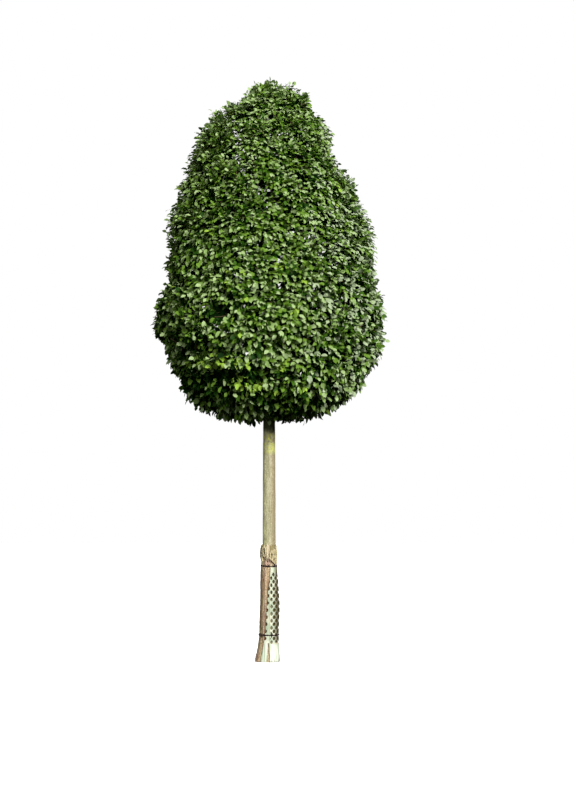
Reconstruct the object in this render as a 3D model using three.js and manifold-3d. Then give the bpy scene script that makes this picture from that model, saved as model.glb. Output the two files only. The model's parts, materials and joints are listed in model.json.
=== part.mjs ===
// A fastigiate European hornbeam grown as a standard: a straight clear stem under one dense, egg-shaped
// crown. Sacking is bound round the foot of the stem, with a white plastic guard over it and two wire ties.
// Millimetres, +Z up. The origin is the centre of the flat cut under the trunk, at ground level.
// The front of the tree faces -Y, and directions are degrees turned from +X towards +Y.
import * as THREE from "three";
import { mergeVertices } from "three/addons/utils/BufferGeometryUtils.js";
import Module from "manifold-3d";

const wasm = await Module();
wasm.setup();

// Whole tree
const TREE_HEIGHT = 5812;
const SEATING_GAP = 0.3;

// Crown: an egg, widest at its waist, with bulges and hollows. wide is in degrees, the rest in millimetres.
const CROWN_FOOT = 2360;
const CROWN_WAIST = 3400;
const CROWN_RADIUS = 1165;
const UPPER_POWER = 1.45;
const LOWER_POWER = 2.4;
const BULGES = [
  { name: "left waist", direction: 180, height: 3430, out: 45, tall: 200, wide: 35 },
  { name: "left hollow above the waist", direction: 180, height: 3830, out: -75, tall: 140, wide: 40 },
  { name: "left hollow below the waist", direction: 180, height: 2950, out: -80, tall: 170, wide: 45 },
  { name: "left shoulder", direction: 180, height: 5270, out: 75, tall: 210, wide: 50 },
  { name: "right side", direction: 0, height: 4480, out: 20, tall: 250, wide: 40 },
  { name: "right hollow over the side", direction: 0, height: 5040, out: -95, tall: 150, wide: 45 },
  { name: "right crest", direction: 0, height: 5720, out: 130, tall: 110, wide: 50 },
  { name: "left crest", direction: 180, height: 5680, out: -75, tall: 90, wide: 50 },
  { name: "front hollow", direction: 265, height: 3050, out: -70, tall: 130, wide: 55 },
  { name: "front belly", direction: 290, height: 3900, out: 45, tall: 260, wide: 35 },
  { name: "back belly", direction: 100, height: 3300, out: 45, tall: 240, wide: 40 },
  { name: "back hollow", direction: 75, height: 4250, out: -70, tall: 170, wide: 45 },
  { name: "back shoulder", direction: 110, height: 4980, out: 60, tall: 210, wide: 45 },
];

// Masses of foliage in rings round the trunk. Each has a heart, and its space is nearer to that heart than
// to any other. Its bough leaves the trunk below the heart by rise, a share of the heart's distance out.
const TIERS = [
  { name: "low", count: 4, turn: 45, height: 2900, out: 700, rise: 0.7, boughFoot: 26, boughTip: 15 },
  { name: "middle", count: 4, turn: 0, height: 3550, out: 740, rise: 1.2, boughFoot: 24, boughTip: 14 },
  { name: "high", count: 3, turn: 0, height: 4330, out: 640, rise: 1.5, boughFoot: 20, boughTip: 12 },
  { name: "upper", count: 3, turn: 60, height: 4910, out: 500, rise: 1.8, boughFoot: 15, boughTip: 10 },
];
const TOP_HEART_HEIGHT = 5420;
const HEART_JITTER = { turn: 14, height: 110 };
const SPACE_MARGIN = 3;
const TRUNK_SURROUND = 0.36;
const LIMB_CLEARANCE = 55;
const LIMB_BEADS = 60;

// Boughs: each bends at an elbow, set as a share of its heart's distance out and of its rise
const BOUGH_ELBOW = { out: 0.3, drop: 0.55 };
const BOUGH_TIP_REACH = 0.95;
const BOUGH_STEPS = 5;
const BOUGH_SIDES = 7;

// Growth of a mass: a core about the heart, and twigs to places spaced evenly down the crown's surface, each
// with leaves that hang like shingles. spins and lift are in degrees, and a patch is in square millimetres.
const CORE_SHARE = { out: 0.88, up: 0.945, well: 0.54 };
const CORE_LEVELS = [0, 0.03, 0.11, 0.22, 0.35, 0.48, 0.62, 0.75, 0.87, 0.95, 0.99, 1];
const CORE_SIDES = 16;
const CORE_GAP = 9;
const CORE_ROOM = 12;
const TWIG_PATCH = 150000;
const TWIG_JITTER = 60;
const TWIG_END = 0.985;
const TWIG_RADIUS = 26;
const LEAF_SPINS = [68, -68, 0];
const LEAF_SPIN_JITTER = 16;
const LEAF_ROOTS = { first: 0.83, last: 0.93 };
const LEAF_LIFT = { first: 30, step: 3, spin: 5, tries: 12 };
const LEAF = { length: 290, width: 190, fold: 20, widest: 0.42 };
const REACH_STEP = 10;
const GOLDEN_ANGLE = 180 * (3 - Math.sqrt(5));

// Trunk: radius by height, with roots that swell it at the ground and a slight lean
const TRUNK_HEIGHT = 5120;
const TRUNK_SIDES = 16;
const TRUNK_RADII = [
  { height: 0, radius: 78 },
  { height: 350, radius: 71 },
  { height: 1150, radius: 64 },
  { height: 2370, radius: 59 },
  { height: 3300, radius: 43 },
  { height: 4300, radius: 25 },
  { height: TRUNK_HEIGHT, radius: 12 },
];
const LOW_TRUNK_LEVELS = [0, 30, 70, 130, 220, 350, 750, 1150, 1550, 1950];
const TRUNK_LEVELS = [...LOW_TRUNK_LEVELS, 2370, 2830, 3300, 3800, 4300, 4720, TRUNK_HEIGHT];
const TRUNK_LEAN = 38;
const ROOT_FLARE = { out: 14, tall: 75, lobes: 5, depth: 0.4 };

// Wrapping at the foot of the stem: sacking, the guard over it, and a wire tie round each
const WRAP_SIDES = 20;
const WRAP_RADII = [
  { height: 2, radius: 108 },
  { height: 60, radius: 105 },
  { height: 160, radius: 100 },
  { height: 270, radius: 95 },
  { height: 520, radius: 96 },
  { height: 800, radius: 87 },
  { height: 900, radius: 80 },
  { height: 950, radius: 76 },
  { height: 1010, radius: 81 },
  { height: 1120, radius: 87 },
  { height: 1205, radius: 79 },
];
const WRAP_TAIL = { direction: 190, out: 24, tall: 110, wide: 35 };
const WRAP_RAGS = 40;
const GUARD = { bottom: 12, top: 938, thick: 2.5 };
const GUARD_OPENING = { side: 150, frontAtFoot: 218, frontAtTop: 278 };
const GUARD_SLITS = { first: 267, apart: 56, count: 4, top: 190, topWidth: 8, footWidth: 30 };
const TIE = { radius: 2.6, sides: 6 };
const LOWER_TIE = { height: 270, knot: 286 };
const KNOT_ENDS = [
  { turn: -11, out: 9, up: 30 },
  { turn: -12, out: 8, up: -28 },
];
const UPPER_TIE = { height: 950, endFrom: 350, endTo: 277, endRise: 62, endSlack: 9, endSteps: 8 };

const MATERIALS = {
  bark: new THREE.MeshStandardMaterial({ color: 0xada586, roughness: 0.9 }),
  innerBark: new THREE.MeshStandardMaterial({ color: 0x6f6850, roughness: 0.9 }),
  foliage: new THREE.MeshStandardMaterial({ color: 0x5f7f35, roughness: 0.55 }),
  sacking: new THREE.MeshStandardMaterial({ color: 0xa98e6b, roughness: 0.95 }),
  guardPlastic: new THREE.MeshStandardMaterial({ color: 0xdfe2d2, roughness: 0.5 }),
  tieWire: new THREE.MeshStandardMaterial({ color: 0x33261f, roughness: 0.6, metalness: 0.4 }),
};

const { clamp, degToRad, radToDeg, euclideanModulo, lerp, mapLinear } = THREE.MathUtils;

// Draws from 0 to 1, the same for the same seed
function seededDraw(seed) {
  let state = seed;
  return () => {
    state = (Math.imul(state, 1664525) + 1013904223) >>> 0;
    return state / 2 ** 32;
  };
}

// The turn from one direction to another, in degrees from -180 to 180
function turnBetween(from, to) {
  return euclideanModulo(to - from + 180, 360) - 180;
}

function directionOf(point) {
  return radToDeg(Math.atan2(point.y, point.x));
}

// A point at a direction and distance from the upright line over the origin
function around(direction, distance, height) {
  const angle = degToRad(direction);
  return new THREE.Vector3(distance * Math.cos(angle), distance * Math.sin(angle), height);
}

// The radius at a height, straight between the heights of a list
function radiusAt(radii, height) {
  const next = Math.max(1, radii.findIndex((entry) => entry.height >= height));
  const low = radii[next - 1];
  const high = radii[next];
  return mapLinear(height, low.height, high.height, low.radius, high.radius);
}

// Solids: a closed geometry becomes one for joining and cutting, and comes back as a geometry
function toSolid(geometry) {
  const bare = geometry.clone();
  bare.deleteAttribute("normal");
  bare.deleteAttribute("uv");
  const { attributes, index } = mergeVertices(bare, 1e-3);
  const vertProperties = attributes.position.array;
  const triVerts = new Uint32Array(index.array);
  return new wasm.Manifold(new wasm.Mesh({ numProp: 3, vertProperties, triVerts }));
}

function toGeometry(solid) {
  const mesh = solid.getMesh();
  const geometry = new THREE.BufferGeometry();
  geometry.setAttribute("position", new THREE.BufferAttribute(mesh.vertProperties, mesh.numProp));
  geometry.setIndex(new THREE.BufferAttribute(mesh.triVerts, 1));
  return geometry;
}

// The largest body of a solid once its nearest points are merged, without sealed hollows and loose scraps
function largestBody(solid) {
  const bodies = toSolid(toGeometry(solid)).decompose();
  return bodies.reduce((best, body) => (body.volume() > best.volume() ? body : best));
}

function moveVertices(geometry, move) {
  const position = geometry.attributes.position;
  const point = new THREE.Vector3();
  for (let i = 0; i < position.count; i++) {
    move(point.fromBufferAttribute(position, i));
    position.setXYZ(i, point.x, point.y, point.z);
  }
  return geometry;
}

// A closed shape turned about +Z, with a radius for each height and direction
function turnedShape(levels, sides, radiusFor) {
  const rim = levels.map((height) => new THREE.Vector2(1, height));
  const profile = [new THREE.Vector2(0, levels[0]), ...rim, new THREE.Vector2(0, levels.at(-1))];
  return moveVertices(new THREE.LatheGeometry(profile, sides).rotateX(Math.PI / 2), (point) => {
    if (Math.hypot(point.x, point.y) < 0.5) return;
    const direction = directionOf(point);
    point.copy(around(direction, radiusFor(point.z, direction), point.z));
  });
}

// A round limb along a curve, with a radius for each share of its length
function limb(curve, steps, sides, radiusFor) {
  return moveVertices(new THREE.CylinderGeometry(1, 1, 1, sides, steps), (point) => {
    const share = clamp(point.y + 0.5, 0, 1);
    const radius = radiusFor(share);
    const tangent = curve.getTangent(share);
    const upright = Math.abs(tangent.z) > 0.999;
    const side = new THREE.Vector3(upright ? 1 : 0, 0, upright ? 0 : 1).cross(tangent).normalize();
    const third = side.clone().cross(tangent);
    const aside = side.multiplyScalar(point.x * radius).addScaledVector(third, point.z * radius);
    point.copy(curve.getPoint(share)).add(aside);
  });
}

function straightLimb(from, to, sides, radius) {
  return limb(new THREE.LineCurve3(from, to), 1, sides, () => radius);
}

// The crown's surface: its distance out at a direction and height
function crownRadius(direction, height) {
  if (height <= CROWN_FOOT || height >= TREE_HEIGHT) return 0;
  const above = height > CROWN_WAIST;
  const span = above ? TREE_HEIGHT - CROWN_WAIST : CROWN_WAIST - CROWN_FOOT;
  const share = Math.abs(height - CROWN_WAIST) / span;
  const egg = CROWN_RADIUS * Math.sqrt(1 - share ** (above ? UPPER_POWER : LOWER_POWER));
  return BULGES.reduce((radius, bulge) => {
    const up = (height - bulge.height) / bulge.tall;
    const aside = turnBetween(bulge.direction, direction) / bulge.wide;
    return radius + bulge.out * Math.exp(-up * up - aside * aside);
  }, egg);
}

// The way out of the crown at a point near its surface
function outwardAt(point) {
  const direction = directionOf(point);
  const slope = (crownRadius(direction, point.z + 20) - crownRadius(direction, point.z - 20)) / 40;
  return around(direction, 1, clamp(-slope, -3, 3)).normalize();
}

function trunkAxis(height) {
  return new THREE.Vector3(TRUNK_LEAN * (height / TRUNK_HEIGHT) ** 3, 0, height);
}

function trunkRadius(height, direction) {
  const lobe = 1 + ROOT_FLARE.depth * Math.cos(ROOT_FLARE.lobes * degToRad(direction));
  return radiusAt(TRUNK_RADII, height) + ROOT_FLARE.out * lobe * Math.exp(-height / ROOT_FLARE.tall);
}

function trunkShape(gap) {
  const radiusFor = (height, direction) => trunkRadius(height, direction) + gap;
  const shape = turnedShape(TRUNK_LEVELS, TRUNK_SIDES, radiusFor);
  return moveVertices(shape, (point) => point.add(trunkAxis(point.z).setZ(0)));
}

// The masses, each with its heart and the walls between its space and its neighbours'
const masses = TIERS.flatMap((tier, level) => {
  const draw = seededDraw(level + 1);
  return Array.from({ length: tier.count }, (_, i) => {
    const direction = tier.turn + (360 / tier.count) * i + HEART_JITTER.turn * (draw() - 0.5);
    const height = tier.height + HEART_JITTER.height * (draw() - 0.5);
    return { tier, label: `${tier.name}_foliage_${i + 1}`, heart: around(direction, tier.out, height) };
  });
});
masses.push({ label: "top_foliage", heart: trunkAxis(TRUNK_HEIGHT).setZ(TOP_HEART_HEIGHT) });
for (const mass of masses) {
  const others = masses.filter((other) => other !== mass);
  mass.walls = others.map(({ heart }) => {
    const apart = heart.clone().sub(mass.heart).normalize();
    return new THREE.Plane().setFromNormalAndCoplanarPoint(apart, heart.clone().lerp(mass.heart, 0.5));
  });
}

function inCrown(point) {
  return Math.hypot(point.x, point.y) < crownRadius(directionOf(point), point.z);
}

function inSpace(point, mass) {
  if (!inCrown(point)) return false;
  const surround = mass.tier ? TRUNK_SURROUND * crownRadius(directionOf(point), point.z) : 0;
  if (trunkAxis(point.z).distanceTo(point) < surround) return false;
  return mass.walls.every((wall) => wall.distanceToPoint(point) < -SPACE_MARGIN);
}

// How far a test still holds, going from a point in a direction
function reach(from, direction, test) {
  let distance = 0;
  while (test(from.clone().addScaledVector(direction, distance + REACH_STEP))) distance += REACH_STEP;
  return distance;
}

// The limb that carries a mass. A bough runs from the trunk's middle, round an elbow, to a tip on the
// straight way to the heart. The trunk itself carries the top.
function boughLimb(mass) {
  const { tier, heart } = mass;
  const rise = tier.rise * tier.out;
  const elbow = around(directionOf(heart), BOUGH_ELBOW.out * tier.out, heart.z - BOUGH_ELBOW.drop * rise);
  const inward = elbow.clone().sub(heart).normalize();
  const span = BOUGH_TIP_REACH * reach(heart, inward, (point) => inSpace(point, mass));
  const tip = heart.clone().addScaledVector(inward, span);
  const route = new THREE.QuadraticBezierCurve3(trunkAxis(heart.z - rise), elbow, tip);
  return { route, foot: tier.boughFoot, tip: tier.boughTip };
}

function trunkLimb() {
  const heights = [0, 0.25, 0.5, 0.75, 1].map((share) => lerp(CROWN_FOOT, TRUNK_HEIGHT, share));
  const route = new THREE.CatmullRomCurve3(heights.map(trunkAxis));
  return { route, foot: trunkRadius(CROWN_FOOT, 0), tip: trunkRadius(TRUNK_HEIGHT, 0) };
}

for (const mass of masses) mass.limb = mass.tier ? boughLimb(mass) : trunkLimb();

function limbShape({ route, foot, tip }, extra) {
  return limb(route, BOUGH_STEPS, BOUGH_SIDES, (share) => lerp(foot, tip, share) + extra);
}

// Beads along every limb, which foliage keeps clear of
const limbBeads = masses.flatMap(({ limb: { route, foot, tip } }) => {
  const shares = Array.from({ length: LIMB_BEADS }, (_, i) => i / (LIMB_BEADS - 1));
  return shares.map((share) => new THREE.Sphere(route.getPoint(share), lerp(foot, tip, share)));
});

function clearOfLimbs(point) {
  return limbBeads.every((bead) => bead.distanceToPoint(point) > LIMB_CLEARANCE);
}

function isFree(point, mass) {
  return inSpace(point, mass) && clearOfLimbs(point);
}

// The dense inside of the crown, with a well round the trunk and room round every limb
function coreBody() {
  const levels = CORE_LEVELS.map((share) => lerp(CROWN_FOOT + 1, TREE_HEIGHT - 1, share));
  const eggRadius = (height, direction) => CORE_SHARE.out * crownRadius(direction, height);
  const egg = turnedShape(levels, CORE_SIDES, eggRadius);
  moveVertices(egg, (point) => point.setZ(lerp(CROWN_WAIST, point.z, CORE_SHARE.up)));
  const lowLevels = levels.filter((height) => height < TRUNK_HEIGHT);
  const wellRadius = (height, direction) => {
    const trunkRoom = trunkRadius(height, direction) + CORE_ROOM;
    return Math.max(trunkRoom, CORE_SHARE.well * crownRadius(direction, height));
  };
  const well = turnedShape([CROWN_FOOT - CORE_ROOM, ...lowLevels, TRUNK_HEIGHT], CORE_SIDES, wellRadius);
  const rooms = masses.flatMap(({ limb, heart }) => {
    const tip = limb.route.getPoint(1);
    const past = tip.clone().add(heart.clone().sub(tip).setLength(CORE_ROOM));
    const before = limb.route.getPoint(0.9);
    return [limbShape(limb, CORE_ROOM), straightLimb(before, past, BOUGH_SIDES, limb.tip + CORE_ROOM)];
  });
  return toSolid(egg).subtract(wasm.Manifold.union([well, ...rooms].map(toSolid)));
}

// The part of that inside which lies within a mass's walls
function coreOf(mass, body) {
  const size = 4 * TREE_HEIGHT;
  const blocks = mass.walls.map((wall) => {
    const turn = new THREE.Quaternion().setFromUnitVectors(new THREE.Vector3(0, 0, 1), wall.normal);
    const middle = wall.coplanarPoint(new THREE.Vector3());
    middle.addScaledVector(wall.normal, size / 2 - CORE_GAP);
    const block = new THREE.BoxGeometry(size, size, size).applyQuaternion(turn);
    return block.translate(middle.x, middle.y, middle.z);
  });
  return body.subtract(wasm.Manifold.union(blocks.map(toSolid)));
}

// A leaf folded to a keel, with its root at the origin, its tip on +Y and its two sides raised
const LEAF_CORNERS = {
  root: new THREE.Vector3(0, 0, 0),
  right: new THREE.Vector3(LEAF.width / 2, LEAF.widest * LEAF.length, LEAF.fold),
  tip: new THREE.Vector3(0, LEAF.length, 0),
  left: new THREE.Vector3(-LEAF.width / 2, LEAF.widest * LEAF.length, LEAF.fold),
};

function leafShape() {
  const { root, right, tip, left } = LEAF_CORNERS;
  const faces = [root, right, left, right, tip, left, tip, right, root, root, left, tip];
  return new THREE.BufferGeometry().setFromPoints(faces);
}

// The place of a leaf: it hangs down the crown's surface, turned aside by spin and tipped outwards by lift
function leafPlace(root, spin, lift) {
  const outward = outwardAt(root);
  const down = new THREE.Vector3(0, 0, 1).cross(outward).cross(outward).normalize();
  const along = down.applyAxisAngle(outward, degToRad(spin)).multiplyScalar(Math.cos(degToRad(lift)));
  along.addScaledVector(outward, Math.sin(degToRad(lift)));
  const across = along.clone().cross(outward).normalize();
  return new THREE.Matrix4().makeBasis(across, along, across.clone().cross(along)).setPosition(root);
}

// The points of a leaf that must stay in its mass's space: its corners, and the middle of each two
function leafPoints(place) {
  const corners = Object.values(LEAF_CORNERS).map((corner) => corner.clone().applyMatrix4(place));
  return corners.flatMap((corner, i) => corners.slice(i).map((other) => corner.clone().lerp(other, 0.5)));
}

// A leaf on a twig, turned until it fits, or nothing where it never does
function growLeaf(root, mass, spin) {
  for (let attempt = 0; attempt < LEAF_LIFT.tries; attempt++) {
    const aside = attempt % 2 ? LEAF_LIFT.spin * attempt : -LEAF_LIFT.spin * attempt;
    const place = leafPlace(root, spin + aside, LEAF_LIFT.first - LEAF_LIFT.step * attempt);
    if (leafPoints(place).every((point) => isFree(point, mass))) return [leafShape().applyMatrix4(place)];
  }
  return [];
}

// Places for the twigs' ends: an even spiral down the crown's surface, each with its own patch of it
const twigEnds = [];
const drawEnd = seededDraw(3);
for (let height = TREE_HEIGHT - 25, turn = 0; height > CROWN_FOOT + 15; turn += GOLDEN_ANGLE) {
  const jitter = new THREE.Vector3(drawEnd() - 0.5, drawEnd() - 0.5, drawEnd() - 0.5);
  const end = around(turn, crownRadius(turn, height), height);
  twigEnds.push(end.addScaledVector(jitter, TWIG_JITTER));
  const slope = (crownRadius(turn, height + 10) - crownRadius(turn, height - 10)) / 20;
  height -= TWIG_PATCH / (2 * Math.PI * crownRadius(turn, height) * Math.hypot(1, slope));
}

// A three-sided twig that runs out to a point at its tip
function twigShape(from, to) {
  const length = from.distanceTo(to);
  const direction = to.clone().sub(from).normalize();
  const turn = new THREE.Quaternion().setFromUnitVectors(new THREE.Vector3(0, 1, 0), direction);
  const cone = new THREE.ConeGeometry(TWIG_RADIUS, length, 3).translate(0, length / 2, 0);
  return cone.applyQuaternion(turn).translate(from.x, from.y, from.z);
}

// The twigs of a mass, from its heart to the places that are nearest to it, each with its leaves
function growTwigs(mass, draw) {
  const ends = twigEnds.filter((end) => mass.walls.every((wall) => wall.distanceToPoint(end) < 0));
  return ends.flatMap((end) => {
    const direction = end.clone().sub(mass.heart).normalize();
    const length = TWIG_END * reach(mass.heart, direction, (point) => isFree(point, mass));
    const tip = mass.heart.clone().addScaledVector(direction, length);
    const leaves = LEAF_SPINS.flatMap((spin, i) => {
      const share = lerp(LEAF_ROOTS.first, LEAF_ROOTS.last, i / (LEAF_SPINS.length - 1));
      return growLeaf(mass.heart.clone().lerp(tip, share), mass, spin + LEAF_SPIN_JITTER * (draw() - 0.5));
    });
    return [twigShape(mass.heart, tip), ...leaves];
  });
}

// A mass of foliage: its stem, which starts clear of the limb that carries it, its core, twigs and leaves
function growMass(mass, body, seed) {
  const foot = mass.limb.route.getPoint(1);
  foot.add(mass.heart.clone().sub(foot).setLength(SEATING_GAP));
  const stem = straightLimb(foot, mass.heart, BOUGH_SIDES, mass.limb.tip);
  const growth = [stem, ...growTwigs(mass, seededDraw(seed))].map(toSolid);
  return largestBody(wasm.Manifold.union([coreOf(mass, body), ...growth]));
}

const parts = new THREE.Group();

function addPart(name, geometry, material) {
  const mesh = new THREE.Mesh(geometry, material);
  mesh.name = name;
  parts.add(mesh);
}

// Trunk
addPart("trunk", trunkShape(0), MATERIALS.bark);
const trunkClearance = toSolid(trunkShape(SEATING_GAP * 1.1));

// Boughs
for (const { label, limb } of masses.filter(({ tier }) => tier)) {
  const cut = toSolid(limbShape(limb, 0)).subtract(trunkClearance);
  addPart(label.replace("foliage", "bough"), toGeometry(largestBody(cut)), MATERIALS.innerBark);
}

// Foliage
const body = coreBody();
masses.forEach((mass, i) => addPart(mass.label, toGeometry(growMass(mass, body, i + 11)), MATERIALS.foliage));

// Sacking round the foot of the stem, ragged at the top, with a loose tail that spreads at the ground
function wrapRadius(height, direction) {
  const aside = turnBetween(WRAP_TAIL.direction, direction) / WRAP_TAIL.wide;
  const up = height / WRAP_TAIL.tall;
  return radiusAt(WRAP_RADII, height) + WRAP_TAIL.out * Math.exp(-aside * aside - up * up);
}

const wrapLevels = WRAP_RADII.map((entry) => entry.height);
const drawRag = seededDraw(5);
const rags = Array.from({ length: WRAP_SIDES }, () => WRAP_RAGS * drawRag());
const wrapShape = moveVertices(turnedShape(wrapLevels, WRAP_SIDES, wrapRadius), (point) => {
  if (point.z < wrapLevels.at(-1) - 1 || Math.hypot(point.x, point.y) < 1) return;
  point.z -= rags[Math.round((euclideanModulo(directionOf(point), 360) * WRAP_SIDES) / 360) % WRAP_SIDES];
});
addPart("trunk_wrap", toGeometry(toSolid(wrapShape).subtract(trunkClearance)), MATERIALS.sacking);

// Guard: a sleeve over the sacking, open along one side and slit at its foot
const guardLevels = [GUARD.bottom, ...wrapLevels.filter((z) => z > GUARD.bottom && z < GUARD.top), GUARD.top];

function guardSkin(gap) {
  const radiusFor = (height, direction) => wrapRadius(height, direction) + gap;
  return toSolid(turnedShape(guardLevels, WRAP_SIDES, radiusFor));
}

// The open side is a wedge from the trunk's middle, and its front edge leans from the foot to the top
function guardOpening() {
  const { side, frontAtFoot, frontAtTop } = GUARD_OPENING;
  const radius = 2 * WRAP_RADII[0].radius;
  const wedge = new THREE.Shape().moveTo(0, 0).absarc(0, 0, radius, degToRad(side), degToRad(frontAtFoot));
  const settings = { depth: GUARD.top + 1, bevelEnabled: false, curveSegments: 4 };
  const block = new THREE.ExtrudeGeometry(wedge, settings);
  return toSolid(moveVertices(block, (point) => {
    const front = lerp(frontAtFoot, frontAtTop, point.z / GUARD.top);
    const turn = euclideanModulo(directionOf(point), 360);
    const moved = mapLinear(turn, side, frontAtFoot, side, front);
    point.copy(around(moved, Math.hypot(point.x, point.y), point.z));
  }));
}

// A slit is a narrow upright notch that widens to the guard's foot
function guardSlit(direction) {
  const { top, topWidth, footWidth } = GUARD_SLITS;
  const notch = new THREE.Shape([
    new THREE.Vector2(-footWidth / 2, 0),
    new THREE.Vector2(footWidth / 2, 0),
    new THREE.Vector2(topWidth / 2, top),
    new THREE.Vector2(-topWidth / 2, top),
  ]);
  const block = new THREE.ExtrudeGeometry(notch, { depth: 2 * WRAP_RADII[0].radius, bevelEnabled: false });
  const upright = new THREE.Vector3(0, 0, 1);
  const place = new THREE.Matrix4().makeBasis(around(direction + 90, 1, 0), upright, around(direction, 1, 0));
  return toSolid(block.applyMatrix4(place));
}

const guardGap = SEATING_GAP * 1.1;
let guard = guardSkin(guardGap + GUARD.thick).subtract(guardSkin(guardGap)).subtract(guardOpening());
for (let i = 0; i < GUARD_SLITS.count; i++) {
  guard = guard.subtract(guardSlit(GUARD_SLITS.first + GUARD_SLITS.apart * i));
}
addPart("trunk_guard", toGeometry(largestBody(guard)), MATERIALS.guardPlastic);

// Ties: a ring of wire each, with its ends joined on
function tieRing(height, radius) {
  return toSolid(new THREE.TorusGeometry(radius, TIE.radius, TIE.sides, WRAP_SIDES).translate(0, 0, height));
}

function tieWire(curve, steps) {
  return toSolid(limb(curve, steps, TIE.sides, () => TIE.radius));
}

const guardOutside = wrapRadius(LOWER_TIE.height, 0) + guardGap + GUARD.thick;
const lowerTieRadius = guardOutside + 2 * SEATING_GAP + TIE.radius;
const knot = around(LOWER_TIE.knot, lowerTieRadius, LOWER_TIE.height);
const knotEnds = KNOT_ENDS.map(({ turn, out, up }) => {
  const end = around(LOWER_TIE.knot + turn, lowerTieRadius + out, LOWER_TIE.height + up);
  return tieWire(new THREE.LineCurve3(knot, end), 1);
});
const lowerTie = wasm.Manifold.union([tieRing(LOWER_TIE.height, lowerTieRadius), ...knotEnds]);
addPart("lower_tie", toGeometry(lowerTie), MATERIALS.tieWire);

// The upper tie's loose end runs back over the sacking above the guard
const upperTieRadius = wrapRadius(UPPER_TIE.height, 0) + 2 * SEATING_GAP + TIE.radius;
const looseEnd = new THREE.CatmullRomCurve3([0, 0.25, 0.5, 0.75, 1].map((share) => {
  const height = UPPER_TIE.height + UPPER_TIE.endRise * share;
  const slack = UPPER_TIE.endSlack * Math.sin(Math.PI * share * 0.7);
  const radius = Math.max(upperTieRadius, wrapRadius(height, 0) + 2 * TIE.radius) + slack;
  return around(lerp(UPPER_TIE.endFrom, UPPER_TIE.endTo, share), radius, height);
}));
const upperTie = tieRing(UPPER_TIE.height, upperTieRadius).add(tieWire(looseEnd, UPPER_TIE.endSteps));
addPart("upper_tie", toGeometry(upperTie), MATERIALS.tieWire);

export default parts;
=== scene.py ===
# A fastigiate European hornbeam grown as a standard: bark, boughs, twigs and leaves over the solids.
# Metres, +Z up, with the origin on the flat cut under the trunk. The front of the tree faces -Y, and
# directions are degrees turned from +X towards +Y.
import json
import math
from collections import namedtuple

import bmesh
import bpy
import numpy as np
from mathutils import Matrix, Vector, kdtree, noise

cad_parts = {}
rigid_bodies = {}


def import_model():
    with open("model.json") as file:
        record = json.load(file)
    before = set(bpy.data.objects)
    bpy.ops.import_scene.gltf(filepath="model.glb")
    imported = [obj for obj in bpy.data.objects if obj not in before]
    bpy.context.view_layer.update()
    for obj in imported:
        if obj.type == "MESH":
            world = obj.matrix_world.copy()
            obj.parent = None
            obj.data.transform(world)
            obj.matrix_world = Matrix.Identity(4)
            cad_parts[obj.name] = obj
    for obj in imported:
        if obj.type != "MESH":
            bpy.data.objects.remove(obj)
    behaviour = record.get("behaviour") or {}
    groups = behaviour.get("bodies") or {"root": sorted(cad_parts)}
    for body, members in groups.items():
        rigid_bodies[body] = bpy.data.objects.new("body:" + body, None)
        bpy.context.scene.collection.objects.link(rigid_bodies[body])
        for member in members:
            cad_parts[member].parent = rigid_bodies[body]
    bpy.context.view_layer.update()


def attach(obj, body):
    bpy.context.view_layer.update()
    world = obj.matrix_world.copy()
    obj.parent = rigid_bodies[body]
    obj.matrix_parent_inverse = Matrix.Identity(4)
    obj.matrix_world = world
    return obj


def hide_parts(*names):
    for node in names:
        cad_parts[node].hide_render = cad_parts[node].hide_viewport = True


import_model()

UP = np.array([0.0, 0.0, 1.0])
GOLDEN_ANGLE = 180 * (3 - math.sqrt(5))

# Crown: an egg with bulges and hollows, each a direction, height, amount out, tallness and width
TREE_HEIGHT = 5.812
CROWN_FOOT = 2.36
CROWN_WAIST = 3.4
CROWN_RADIUS = 1.165
UPPER_POWER = 1.45
LOWER_POWER = 2.4
SLOPE_STEP = 0.02
STEEPEST = 3
BULGES = [
    (180, 3.43, 0.045, 0.2, 35),
    (180, 3.83, -0.075, 0.14, 40),
    (180, 2.95, -0.08, 0.17, 45),
    (180, 5.27, 0.075, 0.21, 50),
    (0, 4.48, 0.02, 0.25, 40),
    (0, 5.04, -0.095, 0.15, 45),
    (0, 5.72, 0.13, 0.11, 50),
    (180, 5.68, -0.075, 0.09, 50),
    (265, 3.05, -0.07, 0.13, 55),
    (290, 3.9, 0.045, 0.26, 35),
    (100, 3.3, 0.045, 0.24, 40),
    (75, 4.25, -0.07, 0.17, 45),
    (110, 4.98, 0.06, 0.21, 45),
]

# Masses of foliage in rings round the trunk: how many, the first one's direction, the height and distance
# out of their hearts, then the slope of their boughs and the boughs' radii
Tier = namedtuple("Tier", "name count turn height out slope foot_radius tip_radius")
TIERS = [
    Tier("low", 4, 45, 2.9, 0.7, 0.7, 0.026, 0.015),
    Tier("middle", 4, 0, 3.55, 0.74, 1.2, 0.024, 0.014),
    Tier("high", 3, 0, 4.33, 0.64, 1.5, 0.02, 0.012),
    Tier("upper", 3, 60, 4.91, 0.5, 1.8, 0.015, 0.01),
]
TOP_HEART_HEIGHT = 5.42
TOP_STEM_DROP = 0.05
TOP_STEM_RADIUS = 0.012
HEART_JITTER_TURN = 14
HEART_JITTER_HEIGHT = 0.11
SPACE_MARGIN = 0.003
TRUNK_SURROUND = 0.36
ELBOW_OUT = 0.3
ELBOW_DROP = 0.55
BOUGH_TIP_REACH = 0.95
REACH_STEP = 0.01
BOUGH_COLLAR = 0.5
BOUGH_COLLAR_FADE = 12
BOUGH_SIDES = 14
BOUGH_RINGS = 25

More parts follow.
